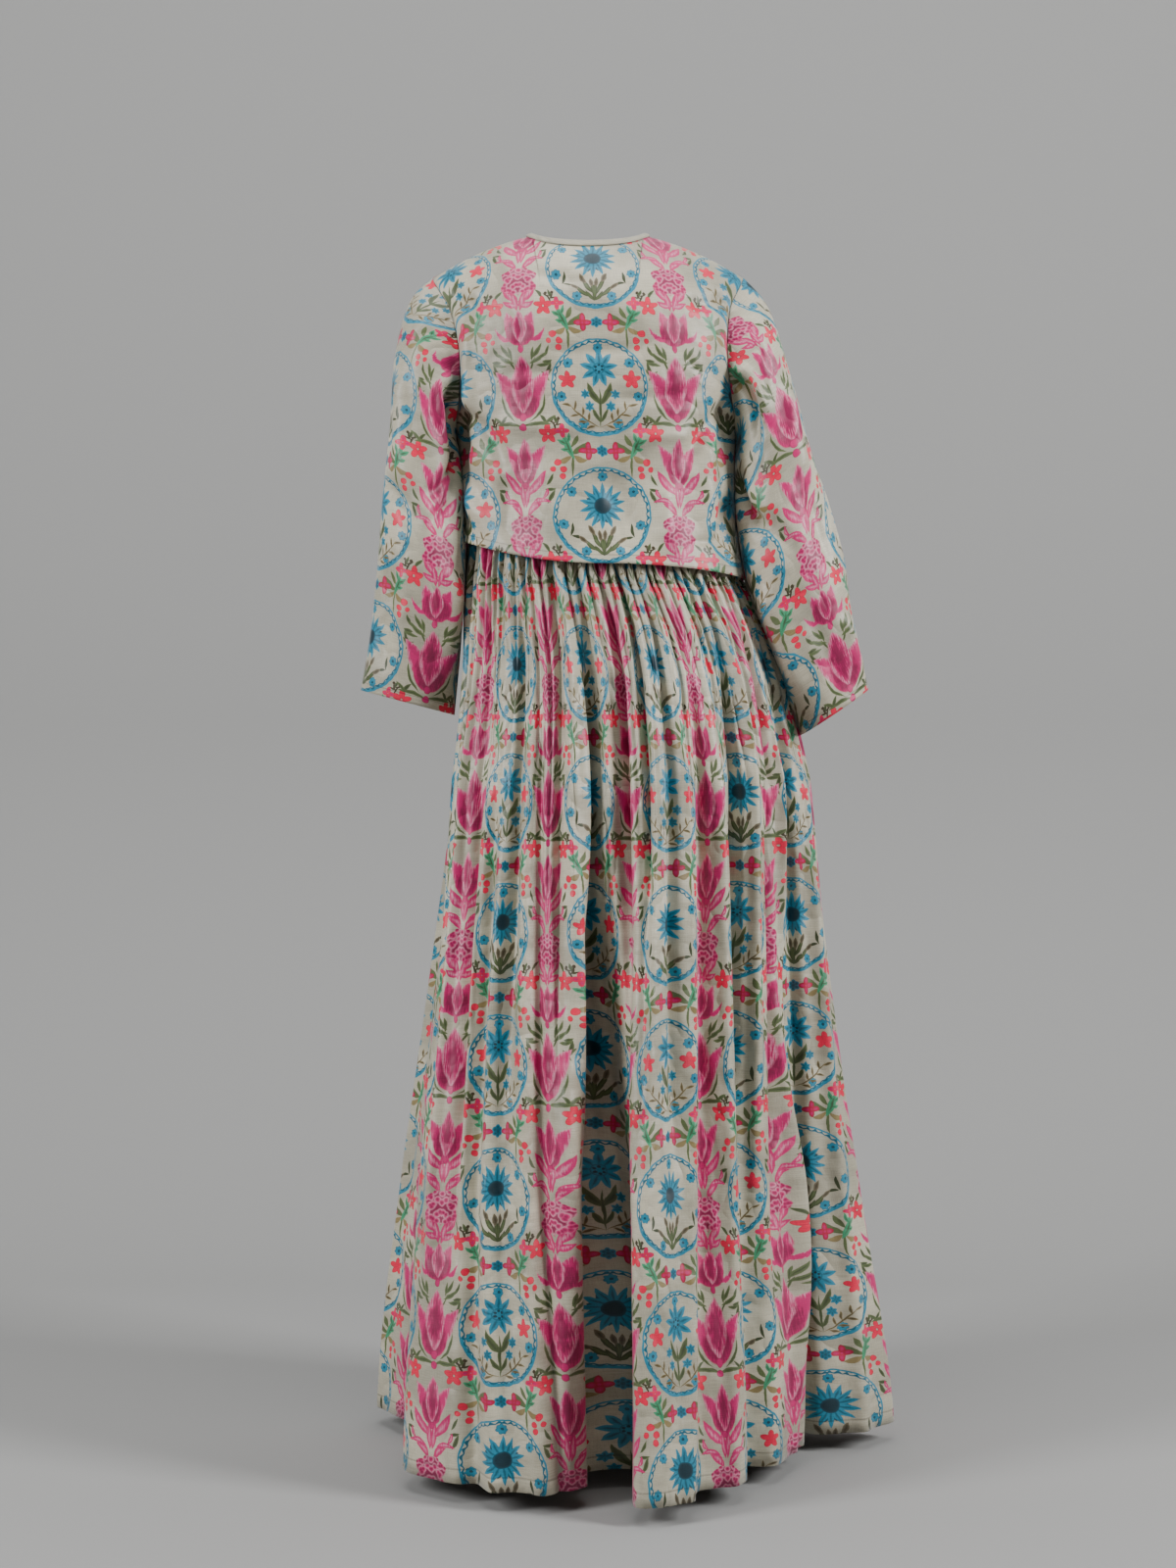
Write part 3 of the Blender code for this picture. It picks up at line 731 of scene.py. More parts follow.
def long_folds(u, down, folds):
    """Ridges and troughs that run far down the skirt."""
    moved = np.zeros_like(u)
    for fold in folds:
        share = np.clip((down - fold.start) / (fold.end - fold.start), 0, 1)
        middle = mix(fold.waist_u, fold.hem_u, down)
        inside = smoothstep(share * FOLD_RISE) * smoothstep((1 - share) * FOLD_FALL)
        moved += fold.depth * inside * np.exp(-(((u - middle) / fold.width) ** 2))
    return moved


def skirt_sheet(name, face, seed, folds, thickness, materials):
    columns, rows = SKIRT_GRID[face]
    first = 0 if face == BACK else len(BACK_FOLDS)
    last = len(BACK_FOLDS) if face == BACK else len(FOLDS)
    fine = np.linspace(first, last, CURVE_POINTS)
    edge = SEAM_GAP / 2 / PANEL_WIDTH
    shares = np.linspace(edge, 1 - edge, columns + 1)
    downs = (1 - np.arange(rows + 1) / rows) ** SKIRT_ROW_EASE
    lines, outwards = [], []
    for down in downs:
        curve = fold_curve(fine, down)
        run = np.concatenate(
            [[0.0], np.cumsum(np.linalg.norm(np.diff(curve, axis=0), axis=1))]
        )
        along = np.interp(shares, run / run[-1], fine)
        line = fold_curve(along, down)
        tangent = np.gradient(line, axis=0)
        tangent /= np.linalg.norm(tangent, axis=1, keepdims=True)
        lines.append(line)
        outwards.append(np.stack([tangent[:, 1], -tangent[:, 0]], axis=-1))
    flat = np.array(lines)
    out = np.array(outwards)
    u, down = np.meshgrid(shares * PANEL_WIDTH, downs)
    moved = gathers(u, down, seed) + long_folds(u, down, folds)
    moved -= HELD_IN * GATHER_HEIGHT * np.maximum(1 - down / HELD_OVER, 0)
    moved -= UNDER_BODICE * (1 - smoothstep((down - COVERED) / UNCOVERED_OVER))
    flat = flat + out * moved[..., None]
    height = np.broadcast_to(mix(WAIST_SEAM, SKIRT_HEM, downs)[:, None], u.shape)
    points = np.concatenate([flat, height[..., None]], axis=-1)
    places, extras = zip(*(BACK_EASE if face == BACK else FRONT_EASE))
    ease = np.interp(u, places, extras) * smoothstep((down - EASE_FROM) / EASE_OVER)
    cut = np.stack([u + ease - PANEL_WIDTH / 2, -down * SKIRT_LENGTH], axis=-1)
    from_hem = (1 - down) * SKIRT_LENGTH / SKIRT_HEM_TURNING
    from_side = np.minimum(u, PANEL_WIDTH - u) / SMALL_TURNING
    sewing = np.stack([from_hem, from_side], axis=-1)
    return sheet_object(name, points, cut, sewing, thickness, materials)


# ---- Neck binding


def binding_sheet(name, width, thickness, materials):
    columns, rows = BINDING_GRID
    turn = 2 * np.pi * np.linspace(0, 1, columns + 1)
    lines = []
    for row in np.linspace(0, 1, rows + 1):
        wide = width * (1 - row)
        x = -(NECK_HALF + wide) * np.cos(turn)
        points = np.zeros((columns + 1, 3))
        for face, half in ((BACK, turn <= np.pi), (FRONT, turn > np.pi)):
            fall = (neck_drop(face) + wide) * np.abs(np.sin(turn[half]))
            height = np.minimum(shoulder_height(x[half]), 0.0) - fall
            points[half] = torso_point(face, x[half], height)
        lift = (SEAM_GAP + thickness) * (0.6 + 0.8 * math.sin(math.pi * row) ** 0.5)
        away = np.stack([0 * turn, points[:, 1], points[:, 2] + SHOULDER_ROUND], axis=-1)
        away /= np.linalg.norm(away, axis=1, keepdims=True)
        lines.append(points + away * lift)
    points = np.array(lines)
    cut = np.stack([lengths_along(points, axis=1), lengths_along(points, axis=0)], axis=-1)
    sewing = np.full_like(cut, FAR_FROM_SEAMS)
    return sheet_object(name, points, cut, sewing, thickness, materials, closed=True)


# ---- Materials

# The dyes, by name. A user picks the first of each row, and the others are mixed from it.
GREIGE, GREIGE_DARK = "greige", "dark greige"
PINK, PINK_PALE, PINK_DEEP = "pink", "pale pink", "deep pink"
CORAL, CORAL_DEEP = "coral", "deep coral"
BLUE, TEAL, NIGHT = "blue", "teal", "night blue"
OLIVE, OLIVE_DARK = "olive", "dark olive"
GREEN, LEAF_BROWN, BARK, BARK_PALE = "green", "leaf brown", "bark", "pale bark"
DYES = {}

# The repeat of the print, in millimetres. Everything mirrors about both axes.
TULIP_PITCH = 182.0  # from one column of tulips to the next, medallions midway
MEDALLION_PITCH = 149.0  # up each column of medallions
COLUMN_REPEAT = 2 * MEDALLION_PITCH  # two kinds of medallion, or one run of tulips
COLUMN_START = -148.0  # height of the foot of one run of tulips
RING_RADIUS = 56.0
RING_FLOWERS = 7
RING_WAVES = 40
PEONY_RUFFLES = 0.16  # petal edges to the millimetre
WOBBLES, WOBBLE = 70.0, 0.0032  # of the block's edge: to the metre, and how far, in metres
BRUSH_MARKS = (900.0, 90.0, 1.0)  # to the metre, along and up the cut
CLOUDS = 9.0  # paler and darker patches of the ground, to the metre

# A stroke is a leaf-shaped mark, centred at x, y from the axis of its zone. Its ends
# turn aside by bend half-widths, to the right of its direction when bend is positive.
Stroke = namedtuple("Stroke", "x y half_length half_width angle bend")
Oval = namedtuple("Oval", "x y half_width half_height")
# A flower has petals about its middle, each reaching from inner to outer.
Flower = namedtuple("Flower", "x y petals inner outer petal_half_width pointed")
GROUPS = {}
PRINTED, REVERSE = "hand-printed raw silk", "reverse of hand-printed raw silk"
STITCH_WIDTH = 0.07  # in turnings
SLUB_HEIGHT = 0.0004  # of a slub above the weave, in metres
CRUMPLES = 16.0  # small creases to the metre, along and across
CRUMPLE_HEIGHT = 0.010  # of the sharpest above the cloth, in metres

TULIP_STEMS = (
    Stroke(22, -25, 19, 1.9, 62, -3.0),
    Stroke(17, -41, 18, 2.6, 3, 1.0),
    Stroke(31, -37, 9, 2.2, 36, 0.5),
    Stroke(21, 34, 13, 2.6, 30, -0.7),
    Stroke(19, 42, 12, 2.5, 52, -0.7),
    Stroke(27, 27, 9, 2.3, 8, -0.5),
    Stroke(12, 27, 10, 1.3, 62, 0.0),
    Stroke(13, 40, 9, 2.1, 80, 0.4),
    Stroke(28, 14, 8, 2.0, -48, 0.5),
    Stroke(32, 17, 7, 1.9, 50, 0.3),
)
TULIP_SIDES = (
    Stroke(15.5, -3, 29, 10.5, 66, 0.62),
    Stroke(11.5, -86, 24, 8.0, 67, 0.60),
    Stroke(10, 72, 19, 8.0, 80, 0.30),
    Stroke(20, 58, 15, 3.4, 24, -2.4),
)
TULIP_CUPS = (
    Oval(0, -13, 19.5, 24),
    Oval(0, -93, 15, 20),
    Oval(0, 66, 18, 17),
)
TULIP_MIDDLES = (
    Stroke(0, 4, 35, 14.0, 90, 0.0),
    Stroke(0, -84, 27, 9.5, 90, 0.0),
    Stroke(0, 72, 20, 8.5, 90, 0.0),
)
TULIP_BEADS = (
    Oval(0, -45.5, 4.3, 4.6),
    Oval(0, -34, 4.6, 5.2),
    Oval(0, 46.5, 3.4, 5.0),
    Oval(0, -113, 3.6, 4.4),
)
PINK_LEAVES = (
    Stroke(12, 112, 16, 5.4, 54, -0.8),
    Stroke(9, 98, 11, 4.0, 12, -0.8),
    Stroke(5, 104, 14, 4.2, 76, 0.0),
    Stroke(15, -113, 21, 5.6, 48, -0.6),
    Stroke(3, -124, 16, 3.6, 84, 0.0),
    Stroke(19, -131, 13, 3.2, 6, 1.3),
    Stroke(10, -140, 12, 4.4, 42, 0.8),
    Stroke(27, -124, 7, 2.4, 66, -1.0),
)
PEONIES = (Oval(0, 132, 18, 20), Oval(13, 122, 8, 7), Oval(13, 138, 8, 8))

RING_LEAVES = (
    Stroke(60, 30.5, 6.0, 2.2, 172, 0.4),
    Stroke(58.5, 22, 9.5, 2.3, 114, 0.5),
    Stroke(60, 42, 8.0, 2.0, 118, 0.5),
    Stroke(53, -38, 6.5, 2.0, 63, -0.4),
    Stroke(66, -37, 8.0, 2.0, 52, 0.6),
)
FLOWER_STEMS = (
    Stroke(54, -44, 7, 1.2, 62, 1.0),
    Stroke(51, -41, 5, 1.1, 112, 0.8),
    Stroke(57, -40, 5, 1.1, 24, -0.8),
    Stroke(49, -43, 4, 1.0, 160, 0.5),
    Oval(50, -36, 1.9, 1.9),
    Oval(58, -37, 1.9, 1.9),
)
CORNER_FLOWERS = (
    Flower(62, -53, 5, 6.6, 12.0, 3.7, False),
    Flower(45, -50, 4, 4.6, 8.8, 3.0, False),
)
STAR_LEAVES = (
    Stroke(0, -24, 24, 1.7, 90, 0.0),
    Stroke(8, -9, 16, 4.0, 60, -0.7),
    Stroke(5, -33, 10, 2.4, 62, -0.6),
)
STAR_SPRIGS = (
    Stroke(20, -35, 24, 1.1, 38, -3.0),
    Stroke(13, -34, 5.5, 1.6, 100, 0.3),
    Stroke(20, -28, 6.0, 1.6, 92, 0.3),
    Stroke(29, -21, 6.0, 1.6, 96, 0.3),
    Stroke(21, -40, 6.0, 1.6, 0, 0.3),
    Stroke(30, -32, 6.0, 1.6, -6, 0.3),
    Stroke(39, -20, 5.5, 1.6, 16, 0.3),
    Stroke(12, -46, 6.0, 1.6, -16, 0.3),
)
DAISY_LEAVES = (
    Stroke(1, -34, 14, 2.2, 84, 0.3),
    Stroke(8, -28, 14, 2.7, 64, -0.6),
    Stroke(14, -36, 13, 2.7, 42, -0.8),
    Stroke(5, -42, 9, 2.2, 50, -0.6),
)
DAISY_MARKS = (
    Stroke(35, -16, 9.0, 2.0, 100, 0.5),
    Stroke(30, -24.5, 6.5, 1.8, 12, 0.4),
)
DAISY_TIPS = (
    Stroke(12.5, -17, 7.5, 3.0, 62, 0.0),
    Stroke(3, -23, 7, 2.7, 84, 0.0),
    Stroke(23, -28, 7, 2.6, 40, 0.0),
)
SPRAY_STEMS = (
    Stroke(34, -16, 15, 1.5, 90, 1.0),
    Stroke(25, 3, 13, 3.8, 146, 0.6),
    Stroke(31, 12, 9, 3.0, 120, 0.3),
)
SPRAY_GREEN = (
    Stroke(40, 6, 17, 3.9, 66, -0.3),
    Stroke(46, 11, 7.5, 2.7, 24, -0.4),
    Stroke(42, 3, 6.5, 2.5, 2, -0.4),
    Stroke(39, 15, 7.5, 2.4, 112, 0.4),
)
SPRAY_BROWN = (
    Stroke(26, -9, 9, 3.4, 200, 0.8),
    Stroke(43, -10, 9, 3.4, -20, -0.8),
)
BUDS = (
    Oval(52, -12, 4.6, 4.2),
    Oval(45, -20, 4.2, 3.8),
    Oval(46, -28, 3.8, 3.8),
    Oval(57, -20, 3.2, 3.2),
)


RING_FLOWER = (Flower(0, 46, 7, 3.4, 6.2, 2.6, False), Oval(0, 46, 4.2, 4.2))
RING_FLOWER_HEART = (Oval(0, 46, 1.5, 1.5),)
SMALL_STARS = (
    Flower(17.5, -8, 6, -1.5, 6.4, 2.3, True),
    Flower(12, -22, 6, -1.5, 6.4, 2.3, True),
)
SIDE_FLOWER = (Flower(37.5, 9, 5, 6.0, 11.0, 3.4, False), Oval(37.5, 9, 3, 3))
STAR_PETALS = (Flower(0, 22, 9, 1.0, 23.0, 4.2, True),)
STAR_HEART = (Oval(0, 22, 7, 7),)
STAR_DOTS = (Flower(0, 22, 6, 4.2, 5.8, 1.6, False),)
DAISY_UNDER = (Flower(0, 12, 11, 1.0, 21.0, 4.6, True),)
DAISY_PETALS = (Flower(0, 12, 14, 1.0, 28.0, 3.4, True),)
DAISY_HEART = (Oval(0, 12, 10, 9.5),)
TRIO_SIDES = (Flower(16, 1, 4, 5.6, 10.8, 3.5, False), Oval(16, 1, 2.6, 2.6))
TRIO_MIDDLE = (Flower(0, 1, 6, 3.8, 7.0, 3.0, False), Oval(0, 1, 4.6, 4.6))


def linear(sheet_hex):
    """An sRGB hex colour as linear RGBA."""
    channels = [int(sheet_hex[i : i + 2], 16) / 255 for i in (1, 3, 5)]
    return tuple(
        c / 12.92 if c <= 0.04045 else ((c + 0.055) / 1.055) ** 2.4 for c in channels
    ) + (1.0,)


def mix_dyes(sizes):
    """Fills the dyes: deep ones are the picked colour with more dye, pale ones with less."""
    rows = (
        (sizes.ground, ((GREIGE, 1.0, 0.0), (GREIGE_DARK, 0.68, 0.0))),
        (sizes.pink, ((PINK, 1.0, 0.0), (PINK_PALE, 1.0, 0.22), (PINK_DEEP, 0.5, 0.0))),
        (sizes.coral, ((CORAL, 1.0, 0.0), (CORAL_DEEP, 0.6, 0.0))),
        (sizes.blue, ((BLUE, 1.0, 0.0), (TEAL, 0.32, 0.0), (NIGHT, 0.12, 0.0))),
        (sizes.olive, ((OLIVE, 1.0, 0.0), (OLIVE_DARK, 0.4, 0.0))),
        (sizes.green, ((GREEN, 1.0, 0.0),)),
        (sizes.brown, ((LEAF_BROWN, 1.0, 0.0), (BARK, 0.2, 0.0), (BARK_PALE, 0.6, 0.05))),
    )
    for picked, mixes in rows:
        for dye, strength, white in mixes:
            DYES[dye] = tuple(mix(c * strength, 1.0, white) for c in picked[:3]) + (1.0,)


def first_output(value):
    """A node's first output in use, or the socket itself."""
    if isinstance(value, bpy.types.Node):
        return next(output for output in value.outputs if output.enabled)
    return value


def add(tree, kind, *inputs, **settings):
    """Adds a node, sets it up, and fills its inputs in order with values or nodes."""
    node = tree.nodes.new(kind if kind.startswith("Node") else "ShaderNode" + kind)
    for name, value in settings.items():
        setattr(node, name, value)
    sockets = [socket for socket in node.inputs if socket.enabled]
    for socket, value in zip(sockets, inputs):
        if isinstance(value, (bpy.types.Node, bpy.types.NodeSocket)):
            tree.links.new(first_output(value), socket)
        elif value is not None:
            socket.default_value = value
    return node


def node_group(name, inputs, result, body):
    """A group of nodes: body builds it from its tree and its inputs, as in Under=Color."""
    tree = bpy.data.node_groups.new(name, "ShaderNodeTree")
    for label, kind in inputs.items():
        tree.interface.new_socket(label, in_out="INPUT", socket_type="NodeSocket" + kind)
    tree.interface.new_socket("Result", in_out="OUTPUT", socket_type="NodeSocket" + result)
    entry = add(tree, "NodeGroupInput")
    add(tree, "NodeGroupOutput", body(tree, *list(entry.outputs)[: len(inputs)]))
    return tree


def least(tree, fields):
    """The least of several fields: where any is under 1, the mark is painted."""
    found = fields[0]
    for field in fields[1:]:
        found = add(tree, "Math", found, field, operation="MINIMUM")
    return found


def stroke_body(tree, place, along, across, bend):
    """1 at a leaf's edge and 0 at its heart, from rows that turn a place into its own."""
    x = add(tree, "VectorMath", place, along, operation="DOT_PRODUCT")
    y = add(tree, "VectorMath", place, across, operation="DOT_PRODUCT")
    square = add(tree, "Math", x, x, operation="MULTIPLY")
    bent = add(tree, "Math", square, bend, y, operation="MULTIPLY_ADD")
    aside = add(tree, "Math", bent, operation="ABSOLUTE")
    return add(tree, "Math", square, aside, operation="ADD")


def oval_body(tree, place, along, across):
    x = add(tree, "VectorMath", place, along, operation="DOT_PRODUCT")
    y = add(tree, "VectorMath", place, across, operation="DOT_PRODUCT")
    square = add(tree, "Math", x, x, operation="MULTIPLY")
    return add(tree, "Math", y, y, square, operation="MULTIPLY_ADD")


def flower_body(tree, place, across, up, petals, lengthwise, start, widthwise, power):
    """Like a stroke for each petal, folded round the flower's middle."""
    x = add(tree, "VectorMath", place, across, operation="DOT_PRODUCT")
    y = add(tree, "VectorMath", place, up, operation="DOT_PRODUCT")
    square = add(tree, "Math", x, x, operation="MULTIPLY")
    square = add(tree, "Math", y, y, square, operation="MULTIPLY_ADD")
    reach = add(tree, "Math", square, operation="SQRT")
    turn = add(tree, "Math", x, y, operation="ARCTAN2")
    fold = add(tree, "Math", turn, petals, operation="PINGPONG")
    sine = add(tree, "Math", fold, operation="SINE")
    aside = add(tree, "Math", reach, sine, operation="MULTIPLY")
    aside = add(tree, "Math", aside, widthwise, operation="MULTIPLY")
    aside = add(tree, "Math", aside, power, operation="POWER")
    along = add(tree, "Math", reach, lengthwise, start, operation="MULTIPLY_ADD")
    return add(tree, "Math", along, along, aside, operation="MULTIPLY_ADD")


def mark_groups():
    """The three kinds of mark. A place is x, y and 1, so one product moves and turns it."""
    rows = {"Place": "Vector", "Along": "Vector", "Across": "Vector"}
    numbers = ("Petals", "Lengthwise", "Start", "Widthwise", "Power")
    petals = {**rows, **{label: "Float" for label in numbers}}
    return {
        Stroke: node_group("Stroke", {**rows, "Bend": "Float"}, "Float", stroke_body),
        Oval: node_group("Oval", rows, "Float", oval_body),
        Flower: node_group("Flower", petals, "Float", flower_body),
    }


def row(angle, size, x, y):
    """The row that measures along an angle, in units of size, from x, y."""
    c, s = math.cos(math.radians(angle)) / size, math.sin(math.radians(angle)) / size
    return (c, s, -c * x - s * y)


def mark_inputs(mark):
    """What one mark puts into its group."""
    if isinstance(mark, Stroke):
        along = row(mark.angle, mark.half_length, mark.x, mark.y)
        return along, row(mark.angle + 90, mark.half_width, mark.x, mark.y), mark.bend
    if isinstance(mark, Oval):
        along = row(0, mark.half_width, mark.x, mark.y)
        return along, row(90, mark.half_height, mark.x, mark.y)
    reach = mark.outer - mark.inner
    start = -mark.inner / reach
    power = 2
    if mark.pointed:
        reach, start, power = reach / 2, -(mark.outer + mark.inner) / reach, 1
    across, up = row(0, 1, mark.x, mark.y), row(90, 1, mark.x, mark.y)
    petals = math.pi / mark.petals
    return across, up, petals, 1 / reach, start, 1 / mark.petal_half_width, power


def marks(tree, place, drawn):
    """One field for a list of marks of any kind."""
    return least(
        tree,
        [
            add(tree, "Group", place, *mark_inputs(mark), node_tree=GROUPS[type(mark)])
            for mark in drawn
        ],
    )


def paint(tree, under, field, shades, shade=None):
    """Paints a field over a colour: shades run from the mark's heart to its edge."""
    shade = shade or field
    ramp = add(tree, "ValToRGB", shade)
    stops = ramp.color_ramp.elements
    while len(stops) < len(shades):
        stops.new(0.5)
    for index, dye in enumerate(shades):
        stops[index].position = index / max(len(shades) - 1, 1)
        stops[index].color = DYES[dye]
    mask = add(tree, "MapRange", field, 0.90, 1.04, 1.0, 0.0)
    return add(tree, "Mix", mask, under, ramp, data_type="RGBA")


def paint_layers(tree, colour, place, layers):
    """Paints lists of marks one over the other, each in its own shades."""
    for drawn, shades in layers:
        colour = paint(tree, colour, marks(tree, place, drawn), shades)
    return colour


def tulip_columns(tree, under, place, brush):
    """Columns of tulips and peonies, painted in pinks with olive stems."""
    colour = paint(tree, under, marks(tree, place, TULIP_STEMS), (OLIVE_DARK, OLIVE, OLIVE))
    leaves = marks(tree, place, PINK_LEAVES)
    shade = add(tree, "Math", brush, 1.2, leaves, operation="MULTIPLY_ADD")
    colour = paint(tree, colour, leaves, (PINK_PALE, PINK, PINK), shade)
    spot = add(tree, "VectorMath", place, (1, 1, 0), operation="MULTIPLY")
    cells = add(tree, "TexVoronoi", spot, PEONY_RUFFLES, voronoi_dimensions="2D")
    cells = cells.outputs["Distance"]
    ruffle = add(tree, "Math", cells, 0.5, -0.2, operation="MULTIPLY_ADD")
    peony = add(tree, "Math", marks(tree, place, PEONIES), ruffle, operation="ADD")
    shade = add(tree, "MapRange", cells, 0.05, 0.75)
    colour = paint(tree, colour, peony, (PINK_DEEP, PINK, PINK_PALE, PINK_DEEP), shade)
    for drawn, shades in (
        (TULIP_SIDES, (PINK, PINK, PINK, PINK_PALE)),
        (TULIP_CUPS, (PINK_DEEP, PINK_DEEP, PINK)),
        (TULIP_MIDDLES, (PINK_DEEP, PINK_DEEP, PINK, PINK_PALE)),
    ):
        petals = marks(tree, place, drawn)
        shade = add(tree, "Math", brush, 1.3, petals, operation="MULTIPLY_ADD")
        colour = paint(tree, colour, petals, shades, shade)
    return paint(tree, colour, marks(tree, place, TULIP_BEADS), (PINK, PINK, PINK_DEEP))


def ring_and_corners(tree, under, place):
    """The blue ring of each medallion, its small flowers, and what lies at its corners."""
    flat = add(tree, "VectorMath", place, (1, 1, 0), operation="MULTIPLY")
    reach = add(tree, "VectorMath", flat, operation="LENGTH").outputs["Value"]
    across = add(tree, "VectorMath", place, (1, 0, 0), operation="DOT_PRODUCT")
    up = add(tree, "VectorMath", place, (0, 1, 0), operation="DOT_PRODUCT")
    turn = add(tree, "Math", across, up, operation="ARCTAN2")
    line = add(tree, "Math", reach, RING_RADIUS, operation="SUBTRACT")
    line = add(tree, "Math", line, operation="ABSOLUTE")
    waves = add(tree, "Math", turn, RING_WAVES, operation="MULTIPLY")
    waves = add(tree, "Math", waves, operation="SINE")
    band = add(tree, "Math", waves, 0.8, RING_RADIUS - 3.2, operation="MULTIPLY_ADD")
    band = add(tree, "Math", reach, band, operation="SUBTRACT")
    band = add(tree, "Math", band, operation="ABSOLUTE")
    swell = add(tree, "Math", waves, 0.45, 1.15, operation="MULTIPLY_ADD")
    band = add(tree, "Math", band, swell, operation="DIVIDE")
    lower = add(tree, "MapRange", up, -12.0, 4.0, 0.0, 9.0)
    second = add(tree, "Math", reach, RING_RADIUS - 1.9, operation="SUBTRACT")
    second = add(tree, "Math", second, operation="ABSOLUTE")
    second = add(tree, "Math", second, lower, operation="ADD")
    colour = paint(tree, under, least(tree, (line, second)), (BLUE, BLUE))
    colour = paint(tree, colour, band, (TEAL, BLUE))
    colour = paint(tree, colour, marks(tree, place, RING_LEAVES), (OLIVE_DARK, OLIVE))
    colour = paint(tree, colour, marks(tree, place, FLOWER_STEMS), (BARK, BARK))
    for flower, shades in zip(CORNER_FLOWERS, ((CORAL, CORAL, CORAL_DEEP), (PINK, CORAL, PINK))):
        colour = paint(tree, colour, marks(tree, place, (flower,)), shades)
    fold = add(tree, "Math", turn, math.pi / RING_FLOWERS, operation="PINGPONG")
    sine = add(tree, "Math", fold, operation="SINE")
    cosine = add(tree, "Math", fold, operation="COSINE")
    aside = add(tree, "Math", reach, sine, operation="MULTIPLY")
    along = add(tree, "Math", reach, cosine, operation="MULTIPLY")
    spot = add(tree, "CombineXYZ", aside, along, 1.0)
    colour = paint(tree, colour, marks(tree, spot, RING_FLOWER), (BLUE, BLUE, TEAL))
    return paint(tree, colour, marks(tree, spot, RING_FLOWER_HEART), (TEAL, NIGHT))


def star_medallion(tree, under, place):
    """A narrow-petalled blue star over olive leaves and brown sprigs."""
    layers = (
        (STAR_SPRIGS, (BARK, LEAF_BROWN)),
        (STAR_LEAVES, (OLIVE_DARK, OLIVE)),
        (SMALL_STARS, (TEAL, BLUE, BLUE)),
        (SIDE_FLOWER, (CORAL, CORAL, CORAL_DEEP)),
        (STAR_PETALS, (TEAL, BLUE, BLUE)),
        (STAR_HEART, (BLUE, BLUE, TEAL)),
        (STAR_DOTS, (NIGHT, TEAL)),
    )
    return paint_layers(tree, under, place, layers)


def daisy_medallion(tree, under, place):
    """A spiky blue daisy with a dark heart over a fan of brown-tipped leaves."""
    layers = (
        (DAISY_LEAVES, (OLIVE, OLIVE_DARK)),
        (DAISY_MARKS, (OLIVE_DARK, OLIVE_DARK)),
        (DAISY_TIPS, (BARK, BARK_PALE)),
        (DAISY_UNDER, (TEAL, TEAL)),
        (DAISY_PETALS, (TEAL, BLUE, BLUE)),
        (DAISY_HEART, (NIGHT, NIGHT, TEAL)),
    )
    return paint_layers(tree, under, place, layers)


def meetings(tree, under, place):
    """What joins one medallion to the next: three flowers, leaf sprays and buds."""
    layers = (
        (SPRAY_BROWN, (LEAF_BROWN, LEAF_BROWN)),
        (SPRAY_STEMS, (OLIVE, OLIVE)),
        (SPRAY_GREEN, (OLIVE_DARK, GREEN, GREEN)),
        (BUDS, (CORAL, CORAL, CORAL_DEEP)),
        (TRIO_SIDES, (PINK, CORAL_DEEP, PINK_DEEP)),
        (TRIO_MIDDLE, (TEAL, BLUE, BLUE)),
    )
    return paint_layers(tree, under, place, layers)


